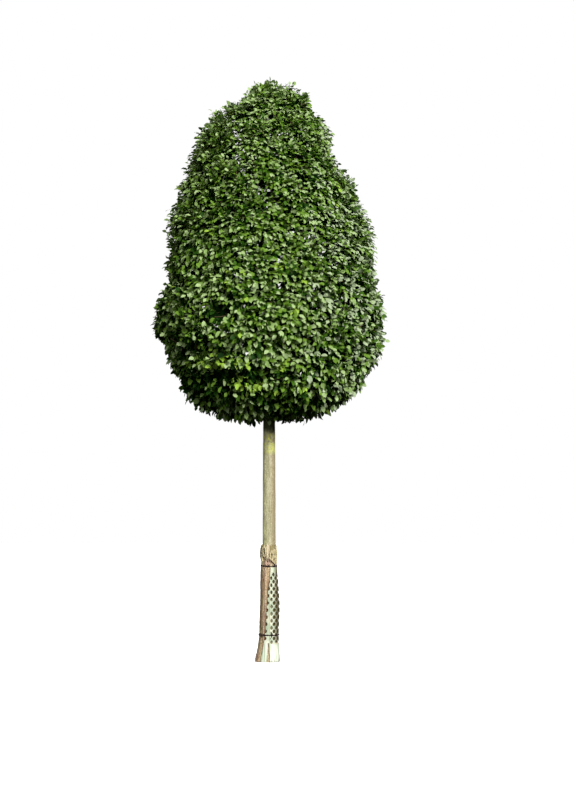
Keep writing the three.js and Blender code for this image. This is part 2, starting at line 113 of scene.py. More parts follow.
# Trunk: radius by height, with roots that swell it at the ground and a slight lean
TRUNK_HEIGHT = 5.12
TRUNK_HEIGHTS = [0, 0.35, 1.15, 2.37, 3.3, 4.3, 5.12]
TRUNK_RADII = [0.078, 0.071, 0.064, 0.059, 0.043, 0.025, 0.012]
TRUNK_LEAN = 0.038
FLARE_OUT = 0.014
FLARE_TALL = 0.075
FLARE_LOBES = 5
FLARE_DEPTH = 0.4
# Rows of the trunk's mesh are closer at the foot: share of the rows, then height
TRUNK_LEVELS = [(0, 0), (0.09, 0.3), (0.2, 1.1), (0.8, 2.5), (1, TRUNK_HEIGHT)]
# Upright flutes of the bark: depth, number round the trunk, then how far, how fast and from where they wind
FLUTES = [(0.0016, 3, 1.3, 1.7, 0), (0.0011, 7, 2.1, 1.1, 1)]
RELIEF_FADE = 0.05
TRUNK_SIDES = 64
TRUNK_ROWS = 330

# Growth: main twigs to a coarse spiral of places down the crown, side twigs to a finer one, and leafy
# shoots to the finest. A patch is the part of the crown's surface that each has, in square metres. Radii
# are at foot and tip.
SPIRAL_STEP = 0.01
SPIRAL_ABOVE_FOOT = 0.015
MAIN_BELOW_TOP = 0.025
SIDE_BELOW_TOP = 0.006
SHOOT_BELOW_TOP = 0.001
STEM_TAPER = 0.8
MAIN_RADII = (0.009, 0.0035)
SIDE_RADII = (0.0036, 0.0016)
SHOOT_RADII = (0.0016, 0.0007)
MAIN_PATCH = 0.15
MAIN_JITTER = 0.06
MAIN_REACH = 0.86
MAIN_SWAY = 0.06
MAIN_SAG = 0.06
SIDE_PATCH = 0.03
SIDE_JITTER = 0.06
SIDE_INSET = 0.15
SIDE_FORKS = (0.35, 0.9)
SIDE_LEAN = 0.35
SHOOT_PATCH = 0.0028
SHOOT_CROWDING = 2.0
SHOOT_JITTER = 0.03
SHOOT_INSET = 0.04
SHOOT_INSET_EASE = 0.9
SHOOT_SPREAD = 0.02
SHOOT_FORKS = (0.35, 0.95)
SHOOT_LEAN = 0.4
TUFT_DOME = 0.11
TUFT_REACH = 0.12
DOME_MOST = 1.6
INNER_PATCH = 0.0076
INNER_INSET = 0.2
INNER_DOME = 0.05
INNER_SPREAD = 0.05
TRUNK_CLEARANCE = 0.14

# Leaves: they face out and up, hang at their tips, and are smaller and flatter towards the top
LEAVES_PER_SHOOT = 8
OUTER_LEAVES_FROM = 0.3
INNER_LEAVES_FROM = 0.2
LEAF_JITTER = 0.04
LEAF_LENGTH = 0.074
SCALE_HEIGHTS = [2.8, 3.5, 4.2, 5.2]
LEAF_SCALES = [1.12, 1.0, 0.88, 0.78]
FLAT_HEIGHTS = [2.6, 4.6]
FLAT_SHARES = [0.45, 0.8]
FACING_OUT = 0.8
FACING_SCATTER = 0.48
LEAF_TURNS = (38, 78)
END_LEAF_TURN = 0.3
LEAF_OUT = 0.2
LEAF_DROOP = 0.42
WAY_SCATTER = 0.12
LEAF_SIZES = (0.72, 1.12)
END_LEAF_SMALLER = 0.2
LEAF_BREADTHS = (0.9, 1.15)
LEAF_BOWS = (0.6, 1.8)

# How greens are dealt out, as numbers on the scale of LEAF_GREENS: depth in the crown, a shoot's foot and
# listed places give painted shade, and facing up or right gives painted light
MEAN_SHADE = 4.5
TUFT_SEED = 11
SPRAY_SPREAD = 0.5
LEAF_SPREAD = 0.95
# Painted light: greens lighter where the crown faces up and where it faces right
UPWARD_PAINTED_LIGHT = 0.2
RIGHT_PAINTED_LIGHT = 0.1
# Painted shade: deeper greens where shoots lie back in the crown and towards a shoot's foot
DEPTH_SHADE = 20
SHADE_DEPTH_OUTER = SHOOT_INSET + 0.05
SHADE_DEPTH_INNER = SHOOT_INSET - 0.06
FOOT_SHADE = 6.5
# Patches of fresh green low on the left front: place along X, height, half width and half height
BRIGHT_PATCHES = [(-0.42, 2.92, 0.35, 0.08), (-0.2, 2.7, 0.16, 0.06)]
BRIGHT_CHANCE = 0.75
STRAY_BRIGHT = (0.5, 0.52)
# Painted sheen: pale greens on the right of the crown
SHEEN_FROM = 0.3
SHEEN_EASE = 0.6
SHEEN_CHANCE = 0.5

# Places where the leaves lie back, or stand out where the depth is negative: direction, height, depth,
# tallness and width
TUFT_SWELLS = [
    (243, 3.4, 0.22, 0.085, 9),
    (238, 2.78, 0.12, 0.06, 16),
    (265, 2.79, 0.12, 0.07, 14),
    (240, 2.93, -0.04, 0.05, 20),
    (225, 2.4, -0.03, 0.06, 40),
    (315, 2.42, 0.02, 0.06, 40),
    (270, 2.36, 0.025, 0.06, 360),
    (270, 5.81, 0.035, 0.03, 360),
    (180, 5.665, 0.058, 0.083, 50),
    (180, 5.45, -0.03, 0.05, 40),
    (180, 5.02, -0.045, 0.12, 45),
    (180, 4.72, -0.05, 0.05, 40),
    (180, 4.42, -0.05, 0.15, 40),
    (180, 4.1, 0.06, 0.08, 40),
    (180, 3.74, 0.03, 0.05, 40),
    (180, 3.5, 0.05, 0.22, 40),
    (180, 3.14, 0.075, 0.11, 40),
    (180, 2.75, 0.085, 0.09, 40),
    (0, 5.72, 0.05, 0.05, 60),
    (0, 5.56, 0.04, 0.07, 50),
    (0, 5.45, 0.035, 0.05, 40),
    (0, 4.94, 0.07, 0.04, 35),
    (0, 4.62, 0.025, 0.08, 35),
    (0, 4.28, -0.04, 0.12, 35),
    (0, 4.08, -0.03, 0.05, 35),
    (0, 3.85, 0.035, 0.1, 35),
    (0, 3.72, 0.03, 0.05, 35),
    (0, 3.17, -0.035, 0.05, 40),
    (0, 2.83, 0.04, 0.1, 40),
]

# Places where deeper shade is painted into the leaves' greens, or painted light where the number is
# negative: direction, height, shades deeper, tallness and width
SHADED_PLACES = [
    (215, 2.74, 1.8, 0.2, 42),
    (90, 2.4, 1.5, 0.25, 360),
    (190, 3.3, 0.6, 0.6, 45),
    (330, 3.3, 0.35, 0.6, 35),
    (270, 4.7, 0.65, 0.8, 90),
    (240, 2.92, -2.0, 0.06, 20),
    (260, 2.71, -1.3, 0.05, 9),
    (250, 2.79, 1.4, 0.05, 22),
    (232, 2.5, -1.2, 0.06, 25),
    (268, 2.6, 0.8, 0.08, 25),
]


def turn_between(start, end):
    """The turn from one direction to another, in degrees from -180 to 180."""
    return (np.asarray(end) - start + 180) % 360 - 180


def around(direction, distance, height):
    """Points at a direction and distance from the upright line over the origin."""
    angle = np.radians(direction)
    distance = np.asarray(distance, float)
    x, y, z = np.broadcast_arrays(distance * np.cos(angle), distance * np.sin(angle), height)
    return np.stack([x, y, z], axis=-1)


def direction_of(points):
    return np.degrees(np.arctan2(points[..., 1], points[..., 0]))


def unit(vectors):
    return vectors / np.maximum(np.linalg.norm(vectors, axis=-1, keepdims=True), 1e-9)


def seeded_draw(seed):
    """Draws from 0 to 1 by the rule that placed the solids' masses."""
    state = seed
    while True:
        state = (state * 1664525 + 1013904223) % 2**32
        yield state / 2**32


def amount_at(places, direction, height):
    """The sum at a direction and height of what a list of places gives, each a hump that eases off."""
    total = 0.0
    for turn, level, most, tall, wide in places:
        up = (height - level) / tall
        aside = turn_between(turn, direction) / wide
        total = total + most * np.exp(-up * up - aside * aside)
    return total


def lumps(direction, height, depth, across, along, shift=(0, 0)):
    """Smooth lumps of a depth, with a fineness across the round of a trunk and along it."""
    angle = math.radians(direction)
    sideways = (across * math.cos(angle) + shift[0], across * math.sin(angle) + shift[1])
    return depth * noise.noise(Vector((*sideways, along * height)))


def clamp(value):
    return min(max(value, 0), 1)


def crown_radius(direction, height):
    """The distance out of the crown's surface."""
    height = np.asarray(height, float)
    above = height > CROWN_WAIST
    span = np.where(above, TREE_HEIGHT - CROWN_WAIST, CROWN_WAIST - CROWN_FOOT)
    share = np.clip(np.abs(height - CROWN_WAIST) / span, 0, 1)
    radius = CROWN_RADIUS * np.sqrt(1 - share ** np.where(above, UPPER_POWER, LOWER_POWER))
    radius = radius + amount_at(BULGES, direction, height)
    return np.where((height > CROWN_FOOT) & (height < TREE_HEIGHT), np.maximum(radius, 0), 0)


def outward_at(points):
    """The way out of the crown at points near its surface."""
    direction = direction_of(points)
    height = np.clip(points[..., 2], CROWN_FOOT + SLOPE_STEP + 0.001, TREE_HEIGHT - SLOPE_STEP - 0.001)
    rise = crown_radius(direction, height + SLOPE_STEP) - crown_radius(direction, height - SLOPE_STEP)
    slope = rise / (2 * SLOPE_STEP)
    return unit(around(direction, 1.0, np.clip(-slope, -STEEPEST, STEEPEST)))


def trunk_axis(height):
    height = np.asarray(height, float)
    return np.stack([TRUNK_LEAN * (height / TRUNK_HEIGHT) ** 3, 0 * height, height], axis=-1)


def trunk_radius(height, direction):
    lobe = 1 + FLARE_DEPTH * math.cos(FLARE_LOBES * math.radians(direction))
    flare = FLARE_OUT * lobe * math.exp(-height / FLARE_TALL)
    return float(np.interp(height, TRUNK_HEIGHTS, TRUNK_RADII)) + flare


# Masses: each has a heart, and its space is nearer to that heart than to any other
class Mass:
    def __init__(self, name, heart, tier=None):
        self.name = name
        self.heart = heart
        self.tier = tier


masses = []
for level, tier in enumerate(TIERS):
    draw = seeded_draw(level + 1)
    for i in range(tier.count):
        direction = tier.turn + 360 / tier.count * i + HEART_JITTER_TURN * (next(draw) - 0.5)
        height = tier.height + HEART_JITTER_HEIGHT * (next(draw) - 0.5)
        masses.append(Mass(f"{tier.name}_foliage_{i + 1}", around(direction, tier.out, height), tier))
masses.append(Mass("top_foliage", np.array([trunk_axis(TRUNK_HEIGHT)[0], 0, TOP_HEART_HEIGHT])))
hearts = np.array([mass.heart for mass in masses])


def mass_of(points):
    """The number of the mass whose space each point lies in."""
    return np.linalg.norm(points[:, None] - hearts[None], axis=-1).argmin(axis=1)


def in_space(point, mass):
    radius = float(crown_radius(direction_of(point), point[2]))
    if math.hypot(point[0], point[1]) >= radius:
        return False
    if mass.tier and np.linalg.norm(point - trunk_axis(point[2])) < TRUNK_SURROUND * radius:
        return False
    for other in hearts:
        apart = other - mass.heart
        gap = np.linalg.norm(apart)
        if gap > 0 and (point - (other + mass.heart) / 2) @ apart / gap > -SPACE_MARGIN:
            return False
    return True


def bend(foot, elbow, tip, share):
    """Points on curves from foot to tip that lean towards elbow, and the way along the curves there.
    share has a row for each curve."""
    share = share[..., None]
    foot, elbow, tip = foot[..., None, :], elbow[..., None, :], tip[..., None, :]
    points = (1 - share) ** 2 * foot + 2 * share * (1 - share) * elbow + share**2 * tip
    return points, unit((1 - share) * (elbow - foot) + share * (tip - elbow))


# Boughs run from the trunk's middle, round an elbow, to a tip on the straight way to their heart
for mass in masses:
    if not mass.tier:
        mass.stem_foot = trunk_axis(TRUNK_HEIGHT - TOP_STEM_DROP)
        continue
    rise = mass.tier.slope * mass.tier.out
    level = mass.heart[2] - ELBOW_DROP * rise
    elbow = around(direction_of(mass.heart), ELBOW_OUT * mass.tier.out, level)
    inward = unit(elbow - mass.heart)
    distance = 0
    while in_space(mass.heart + inward * (distance + REACH_STEP), mass):
        distance += REACH_STEP
    mass.stem_foot = mass.heart + inward * BOUGH_TIP_REACH * distance
    mass.bough = (trunk_axis(mass.heart[2] - rise), elbow, mass.stem_foot)


# Materials. Colours are red, green and blue as they show on screen, from 0 to 255.
def tint(red, green, blue):
    """A colour in the shader's own scale."""
    shares = [level / 255 for level in (red, green, blue)]
    return (*(s / 12.92 if s <= 0.04045 else ((s + 0.055) / 1.055) ** 2.4 for s in shares), 1)


def set_input(tree, target, source):
    """Sets an input to a number, a scale or a colour, or joins another node's output to it."""
    if isinstance(source, bpy.types.NodeSocket):
        tree.links.new(source, target)
    else:
        target.default_value = tint(*source) if target.type == "RGBA" else source


def add_node(tree, kind, inputs, output=0, **settings):
    """Adds a node with its settings and inputs, and gives one of its outputs."""
    made = tree.nodes.new(f"ShaderNode{kind}")
    for key, value in settings.items():
        setattr(made, key, value)
    for key, source in inputs.items():
        set_input(tree, made.inputs[key], source)
    return made.outputs[output]


class Finish:
    """A material that is built up from coats of colour, each over the last."""

    def __init__(self, name, colour, roughness, specular, metallic=0.0):
        self.material = bpy.data.materials.new(name)
        self.material.use_nodes = True
        self.tree = self.material.node_tree
        self.colour = colour
        self.shade({"Roughness": roughness, "Specular IOR Level": specular, "Metallic": metallic})

    def shade(self, looks):
        for key, source in looks.items():
            set_input(self.tree, self.tree.nodes["Principled BSDF"].inputs[key], source)

    def spots(self, scale, detail=3.0, roughness=0.55, source="Object"):
        """Noise from 0 to 1, with a scale for each axis."""
        place = add_node(self.tree, "TexCoord", {}, source)
        scaled = add_node(self.tree, "Mapping", {"Vector": place, "Scale": scale})
        looks = {"Vector": scaled, "Scale": 1, "Detail": detail, "Roughness": roughness}
        return add_node(self.tree, "TexNoise", looks, "Fac")

    def axis(self, name):
        place = add_node(self.tree, "TexCoord", {}, "Object")
        return add_node(self.tree, "SeparateXYZ", {"Vector": place}, name)

    def band(self, value, low, high, to_high=1.0):
        """0 where the value is at low, easing to to_high where it is at high."""
        ends = {"From Min": low, "From Max": high, "To Min": 0, "To Max": to_high}
        return add_node(self.tree, "MapRange", {"Value": value, **ends}, interpolation_type="SMOOTHSTEP")

    def times(self, first, second):
        return add_node(self.tree, "Math", {0: first, 1: second}, operation="MULTIPLY")

    def plus(self, first, second):
        return add_node(self.tree, "Math", {0: first, 1: second}, operation="ADD")

    def mix(self, share, first, second):
        return add_node(self.tree, "Mix", {"Factor": share, 6: first, 7: second}, 2, data_type="RGBA")

    def coat(self, value, low, high, most, colour, within=None):
        """Lays on a colour: none where the value is at low, easing to its most where it is at high."""
        share = self.band(value, low, high, most)
        if within:
            share = self.times(share, within)
        self.colour = self.mix(share, self.colour, colour)

    def done(self, height=None, distance=0.0, strength=1.0):
        """The material, with its colour and the relief that height gives."""
        self.shade({"Base Color": self.colour})
        if height:
            relief = {"Height": height, "Distance": distance, "Strength": strength}
            self.shade({"Normal": add_node(self.tree, "Bump", relief)})
        return self.material


def bark_finish():
    """Smooth grey bark: algae on the left, lightened there as painted light, tan on the right, and lichen
    below a band of painted shade under the crown.
    """
    finish = Finish("smooth_bark", (140, 137, 103), 0.85, 0.25)
    streaks = finish.spots((70, 70, 5), detail=4)
    blotches = finish.spots((14, 14, 6))
    grain = finish.spots((260, 260, 60))
    specks = finish.spots((95, 95, 62), detail=2)
    cushions = finish.spots((36, 36, 26), detail=4, roughness=0.7)
    ragged = finish.times(finish.spots((40, 40, 16)), 0.12)
    sideways, height = finish.axis("X"), finish.axis("Z")
    left = finish.band(sideways, 0, -0.06)
    right = finish.band(sideways, 0.005, 0.05)
    lichen_ring = finish.times(finish.band(height, 2.04, 2.1), finish.band(height, 2.3, 2.22))
    finish.coat(streaks, 0.34, 0.66, 1, (186, 182, 150))
    finish.coat(blotches, 0.42, 0.7, 0.5, (198, 191, 164))
    # Algae on the left side, in a colour made lighter as painted light on that weakly lit side
    finish.coat(blotches, 0.3, 0.65, 1, (220, 224, 158), left)
    finish.coat(streaks, 0.2, 0.6, 0.85, (142, 126, 95), right)
    finish.coat(specks, 0.42, 0.34, 0.6, (112, 104, 74))
    finish.coat(specks, 0.6, 0.68, 0.6, (226, 220, 198))
    finish.coat(blotches, 0.35, 0.6, 0.75, (218, 224, 146), lichen_ring)
    finish.coat(cushions, 0.5, 0.58, 1, (206, 211, 84), lichen_ring)
    # Painted shade: a dark green band stands for the crown's shadow on the top of the trunk, with a ragged
    # lower edge
    finish.coat(finish.plus(height, ragged), 2.31, 2.39, 0.9, (34, 60, 18))
    finish.coat(grain, 0.62, 0.35, 0.45, (96, 88, 64))
    return finish.done(finish.plus(grain, streaks), 0.0015, 0.7)


# Bough bark: darker than the trunk's, as painted shade for boughs inside the crown
def bough_finish():
    finish = Finish("bough_bark", (88, 82, 60), 0.85, 0.25)
    blotches = finish.spots((30, 30, 18), detail=4)
    grain = finish.spots((200, 200, 70))
    finish.coat(blotches, 0.35, 0.65, 1, (136, 128, 98))
    finish.coat(grain, 0.6, 0.35, 0.5, (60, 54, 38))
    return finish.done(grain, 0.001, 0.6)


def sacking_finish():
    """Coarse brown sacking: upright threads and a faint weft, olive on the left, paler at the left foot,
    partly as painted light on that weakly lit side.
    """
    finish = Finish("sacking", (168, 147, 113), 0.95, 0.1)
    threads = finish.spots((150, 9, 1), source="UV")
    streaks = finish.spots((44, 2.5, 1), source="UV")
    weft = finish.spots((26, 160, 1), detail=2, source="UV")
    patches = finish.spots((9, 4, 1), source="UV")
    sideways, height = finish.axis("X"), finish.axis("Z")
    finish.coat(threads, 0.34, 0.64, 1, (246, 231, 198))
    finish.coat(patches, 0.42, 0.62, 0.7, (176, 144, 111))
    finish.coat(streaks, 0.5, 0.36, 0.7, (136, 110, 80))
    finish.coat(streaks, 0.56, 0.68, 0.6, (222, 204, 170))
    finish.coat(patches, 0.46, 0.34, 0.6, (158, 150, 104))
    finish.coat(threads, 0.3, 0.6, 0.75, (168, 160, 112), finish.band(sideways, -0.055, -0.085))
    finish.coat(height, 0.94, 1.03, 0.75, (196, 182, 142))
    # Paler at the left foot: partly the sacking's own tone, partly painted light on a side that gets little
    # light
    finish.coat(height, 0.24, 0.14, 0.85, (246, 208, 162), finish.band(sideways, -0.02, -0.06))
    finish.coat(weft, 0.62, 0.4, 0.6, (84, 64, 44))
    return finish.done(finish.plus(threads, weft), 0.003, 0.9)


def guard_finish():
    """White plastic, a little green, with rain marks, painted shade along a crease, and painted shade
    darkening its right side above its skirt.
    """
    finish = Finish("guard_plastic", (196, 198, 176), 0.5, 0.4)
    marks = finish.spots((45, 45, 4), detail=4)
    film = finish.spots((12, 12, 6))
    streaks = finish.spots((75, 75, 3), detail=2)
    sideways, height = finish.axis("X"), finish.axis("Z")
    above_skirt = finish.band(height, 0.16, 0.24)
    skirt = finish.mix(finish.band(streaks, 0.4, 0.6), (216, 220, 204), (168, 186, 160))
    # A narrow band at the crease, where painted shade darkens the front of the sheet
    crease = finish.times(finish.band(sideways, -0.002, 0.002), finish.band(sideways, 0.011, 0.005))
    finish.coat(film, 0.4, 0.66, 1, (160, 174, 148))
    finish.coat(marks, 0.5, 0.7, 0.6, (142, 138, 110))
    finish.colour = finish.mix(above_skirt, skirt, finish.colour)
    finish.coat(finish.axis("Y"), 0, -0.03, 0.65, (118, 126, 102), crease)
    # Painted shade: the guard's right side darkens towards its edge above the skirt
    finish.coat(sideways, 0.035, 0.085, 0.92, (84, 78, 54), above_skirt)
    return finish.done(film, 0.002, 0.4)


def wire_finish():
    finish = Finish("tie_wire", (26, 18, 22), 0.65, 0.2, metallic=0.1)
    rust = finish.spots((220, 220, 220))
    finish.coat(rust, 0.4, 0.65, 1, (52, 33, 37))
    return finish.done(rust, 0.0005, 0.5)


# Plain finishes: name, colour, roughness and specular
def plain_finishes(*rows):
    return [Finish(*row).done() for row in rows]


# Leaf greens from the deepest to the freshest, a scale that also carries painted shade and painted light,
# then two that have a place of their own: a fresh green, and a pale green that paints sheen
LEAF_GREENS = plain_finishes(
    ("leaf_shaded", (8, 33, 2), 0.7, 0.05),
    ("leaf_deep", (24, 56, 4), 0.65, 0.08),
    ("leaf_dark", (52, 86, 12), 0.6, 0.12),
    ("leaf_middle", (90, 122, 38), 0.6, 0.12),
    ("leaf_fresh", (121, 147, 84), 0.6, 0.15),
    ("leaf_light", (143, 165, 112), 0.6, 0.15),
    ("leaf_bright", (128, 160, 56), 0.6, 0.15),
    ("leaf_painted_sheen", (147, 163, 128), 0.6, 0.15),
)
LIGHTEST, BRIGHT, PALE_SHEEN = 5, 6, 7
WOODY, GREEN = 0, 1
TWIG_BROWNS = plain_finishes(
    ("twig_brown", (72, 62, 42), 0.85, 0.1),
    ("shoot_green", (104, 104, 56), 0.7, 0.2),
)
PALE_STRAW, BROWN_STRAW, PINK_STRAW, OLIVE_STRAW = range(4)
STRAW_TONES = plain_finishes(
    ("straw_pale", (196, 184, 148), 0.9, 0.15),
    ("straw_brown", (172, 146, 108), 0.9, 0.15),
    ("straw_pink", (186, 156, 138), 0.9, 0.15),
    ("straw_olive", (148, 142, 98), 0.9, 0.15),
)
BARK = bark_finish()
SHADED_BOUGH_BARK = bough_finish()
# Sackings: open sacking, painted shade, smooth sacking in the parting, straw colour with painted shade, and
# painted shadow by the guard's edge
OPEN, IN_SHADE, SMOOTH, STRAW_IN_SHADE, SHADOW_BY_EDGE = range(5)
SACKINGS = [sacking_finish()] + plain_finishes(
    ("sacking_in_shade", (74, 66, 44), 0.95, 0.05),
    ("sacking_smooth", (186, 172, 146), 0.95, 0.05),
    ("straw_in_shade", (136, 124, 86), 0.95, 0.05),
    ("sacking_shadow_by_edge", (118, 84, 66), 0.95, 0.05),
)
GUARD_PLASTIC = guard_finish()
TIE_WIRE = wire_finish()


# Making pieces
def add_object(name, data):
    made = bpy.data.objects.new(name, data)
    bpy.context.scene.collection.objects.link(made)
    return made


def mesh_of(name, shape):
    mesh = bpy.data.meshes.new(name)
    shape.to_mesh(mesh)
    shape.free()
    return mesh


def place_piece(name, mesh, materials, nodes=()):
    for material in materials:
        mesh.materials.append(material)
    mesh.shade_smooth()
    piece = add_object(name, mesh)
    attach(piece, "root")
    if nodes:
        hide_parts(*nodes)
    return piece


def finish_shape(name, shape, materials, nodes=()):
    """Turns a modelled shape's faces outwards and places it."""
    bmesh.ops.recalc_face_normals(shape, faces=shape.faces)
    return place_piece(name, mesh_of(name, shape), materials, nodes)


def wrapped_sheet(shape, columns, rows, place, closed_ends=True):
    """Adds a sheet, wrapped round into a tube. place gives a point for each share round and along."""
    uv = shape.loops.layers.uv.verify()
    made = bmesh.ops.create_grid(shape, x_segments=columns, y_segments=rows, size=0.5)["verts"]
    own = set(made)
    faces = [face for face in shape.faces if face.verts[0] in own]
    for face in faces:
        for loop in face.loops:
            loop[uv].uv = (loop.vert.co.x + 0.5, loop.vert.co.y + 0.5)
    for vert in made:
        vert.co = place(vert.co.x + 0.5, vert.co.y + 0.5)
    bmesh.ops.remove_doubles(shape, verts=made, dist=1e-6)
    if closed_ends:
        rims = [edge for edge in shape.edges if edge.is_boundary]
        bmesh.ops.holes_fill(shape, edges=rims, sides=0)


def swept_tube(shape, points, radius_for, sides, closed=False):
    """Adds a tube along points, with a radius for each share along and each angle round."""
    points = [Vector(point) for point in points]
    last = len(points) - 1
    frames = []
    side = None
    for i, point in enumerate(points):
        ahead = points[(i + 1) % last] if closed else points[min(i + 1, last)]
        behind = points[(i - 1) % last] if closed else points[max(i - 1, 0)]
        way = (ahead - behind).normalized()
        if side is None:
            side = way.orthogonal().normalized()
        side = (side - way * side.dot(way)).normalized()
        frames.append((point, side.copy(), way.cross(side)))
    if closed:
        frames[last] = frames[0]

    def place(around_share, along_share):
        centre, first, second = frames[round(along_share * last)]
        angle = math.tau * (around_share % 1)
        radius = radius_for(along_share, angle)
        return centre + first * radius * math.cos(angle) + second * radius * math.sin(angle)

    wrapped_sheet(shape, sides, last, place, closed_ends=not closed)


def joined_mesh(name, parts):
    """One mesh of many small shapes. Each part is the corners of its copies, the faces of one copy and the
    number of its material, for all the copies or for each."""
    points, triangles, shades, start = [], [], [], 0
    for corners, faces, shade in parts:
        copies, count = corners.shape[:2]
        offsets = start + np.arange(copies)[:, None, None] * count
        points.append(corners.reshape(-1, 3))
        triangles.append((offsets + faces).reshape(-1, 3))
        shades.append(np.repeat(np.broadcast_to(shade, copies), len(faces)))
        start += copies * count
    mesh = bpy.data.meshes.new(name)
    mesh.from_pydata(np.concatenate(points), [], np.concatenate(triangles))
    mesh.polygons.foreach_set("material_index", np.concatenate(shades).astype(np.int32))
    return mesh


def tube_faces(rings, sides):
    """The triangles of a tube of rings, closed at both ends."""
    faces = []
    for ring in range(rings - 1):
        for i in range(sides):
            a, b = ring * sides + i, ring * sides + (i + 1) % sides
            faces += [(a, b, b + sides), (a, b + sides, a + sides)]
    end = (rings - 1) * sides
    for i in range(1, sides - 1):
        faces += [(0, i + 1, i), (end, end + i, end + i + 1)]
    return np.array(faces)


def tube_corners(points, radii, sides):
    """Corners of many tubes: points of each along its length, and a radius at each point."""
    way = unit(np.gradient(points, axis=1))
    lean = np.where(np.abs(way[:, :1, 2:]) > 0.9, [[[1.0, 0, 0]]], [[[0, 0, 1.0]]])
    side = unit(np.cross(way, np.broadcast_to(lean, way.shape)))
    third = np.cross(way, side)
    angles = np.arange(sides) * math.tau / sides
    ring = side[:, :, None] * np.cos(angles)[:, None] + third[:, :, None] * np.sin(angles)[:, None]
    return (points[:, :, None] + ring * radii[:, :, None, None]).reshape(len(points), -1, 3)


# Trunk
def bark_relief(direction, height):
    """Shallow upright flutes, with fine lumps between them."""
    angle = math.radians(direction)
    relief = lumps(direction, height, 0.0016, 2.2, 7) + lumps(direction, height, 0.0009, 9, 30, (5, 0))
    for depth, count, sway, pitch, start in FLUTES:
        relief += depth * math.sin(count * angle + sway * math.sin(pitch * height + start))
    return relief


def trunk_point(around_share, along_share):
    shares, heights = zip(*TRUNK_LEVELS)
    height = float(np.interp(along_share, shares, heights))
    direction = 360 * (around_share % 1)
    fade = min(1, height / RELIEF_FADE, (TRUNK_HEIGHT - height) / RELIEF_FADE)
    radius = trunk_radius(height, direction) + fade * bark_relief(direction, height)
    return Vector(around(direction, radius, height) + trunk_axis(height) * [1, 1, 0])


trunk = bmesh.new()
wrapped_sheet(trunk, TRUNK_SIDES, TRUNK_ROWS, trunk_point)
finish_shape("trunk_bark", trunk, [BARK], ["trunk"])

# Boughs
for mass in masses:
    if not mass.tier:
        continue
    foot_radius, tip_radius = mass.tier.foot_radius, mass.tier.tip_radius
    route = bend(*mass.bough, np.linspace(0, 1, BOUGH_RINGS))[0]

    def bough_radius(share, angle):
        collar = BOUGH_COLLAR * math.exp(-share * BOUGH_COLLAR_FADE)
        bark = lumps(math.degrees(angle), share, 0.12, 1.5, 14)
        return (foot_radius + (tip_radius - foot_radius) * share) * (1 + collar + bark)

    bough = bmesh.new()
    swept_tube(bough, route, bough_radius, BOUGH_SIDES)
    name = mass.name.replace("foliage", "bough")
    finish_shape(f"{name}_bark", bough, [SHADED_BOUGH_BARK], [name])

# Twigs and shoots
rng = np.random.default_rng(7)


def leaf_scale(height):
    """Leaves are smaller towards the top."""
    return np.interp(height, SCALE_HEIGHTS, LEAF_SCALES)


def crown_spiral(patch, below_top, crowding=0.0):
    """Even places down the crown's surface, with a patch of it for each. With crowding they stand closer
    where leaves are small."""
    turns, heights = [], []
    height, turn = TREE_HEIGHT - below_top, 0.0
    while height > CROWN_FOOT + SPIRAL_ABOVE_FOOT:
        turns.append(turn)
        heights.append(height)
        low, middle, high = crown_radius(turn, [height - SPIRAL_STEP, height, height + SPIRAL_STEP])
        slant = math.hypot(1, (high - low) / (2 * SPIRAL_STEP))
        own_patch = patch * leaf_scale(height) ** crowding
        height -= own_patch / (2 * math.pi * middle * slant)
        turn += GOLDEN_ANGLE
    return around(turns, crown_radius(turns, heights), heights)


def nearest(points, point_masses, others, other_masses):
    """The nearest of others in the same mass."""
    best = np.zeros(len(points), int)
    for number in range(len(masses)):
        own = np.flatnonzero(point_masses == number)
        theirs = np.flatnonzero(other_masses == number)
        apart = np.linalg.norm(points[own, None] - others[None, theirs], axis=-1)
        best[own] = theirs[apart.argmin(axis=1)]
    return best


def gap_to(points, others):
    """How far off the nearest of others is, of any mass."""
    tree = kdtree.KDTree(len(others))
    for i, other in enumerate(others):
        tree.insert(other, i)
    tree.balance()
    return np.array([tree.find(point)[2] for point in points])


class Growth:
    """Curved twigs, each in a mass: where they start, what they lean to and where they end."""

    def __init__(self, foot, elbow, tip, mass):
        self.foot, self.elbow, self.tip, self.mass = foot, elbow, tip, mass

    def at(self, share):
        """Points along the twigs, and the twigs' way there."""
        return bend(self.foot, self.elbow, self.tip, share)

    def only(self, chosen):
        return Growth(self.foot[chosen], self.elbow[chosen], self.tip[chosen], self.mass[chosen])


def grow_from(parents, parent, tip, mass, forks, lean):
    """Twigs that leave their parents at drawn shares, along the parent's way at first."""
    share = rng.uniform(*forks, (len(tip), 1))
    foot, way = parents.only(parent).at(share)
    foot, way = foot[:, 0], way[:, 0]
    length = np.linalg.norm(tip - foot, axis=1, keepdims=True)
    return Growth(foot, foot + way * lean * length, tip, mass)


stem_feet = np.array([mass.stem_foot for mass in masses])
stems = Growth(stem_feet, (stem_feet + hearts) / 2, hearts, np.arange(len(masses)))

main_ends = crown_spiral(MAIN_PATCH, MAIN_BELOW_TOP)
draw = seeded_draw(3)
main_ends += MAIN_JITTER * np.array([[next(draw) - 0.5 for _ in range(3)] for _ in main_ends])
main_mass = mass_of(main_ends)
main_feet = hearts[main_mass]
main_tips = main_feet + MAIN_REACH * (main_ends - main_feet)
main_length = np.linalg.norm(main_tips - main_feet, axis=1, keepdims=True)
sway = rng.normal(0, MAIN_SWAY, main_tips.shape) - MAIN_SAG * UP
mains = Growth(main_feet, (main_feet + main_tips) / 2 + sway * main_length, main_tips, main_mass)

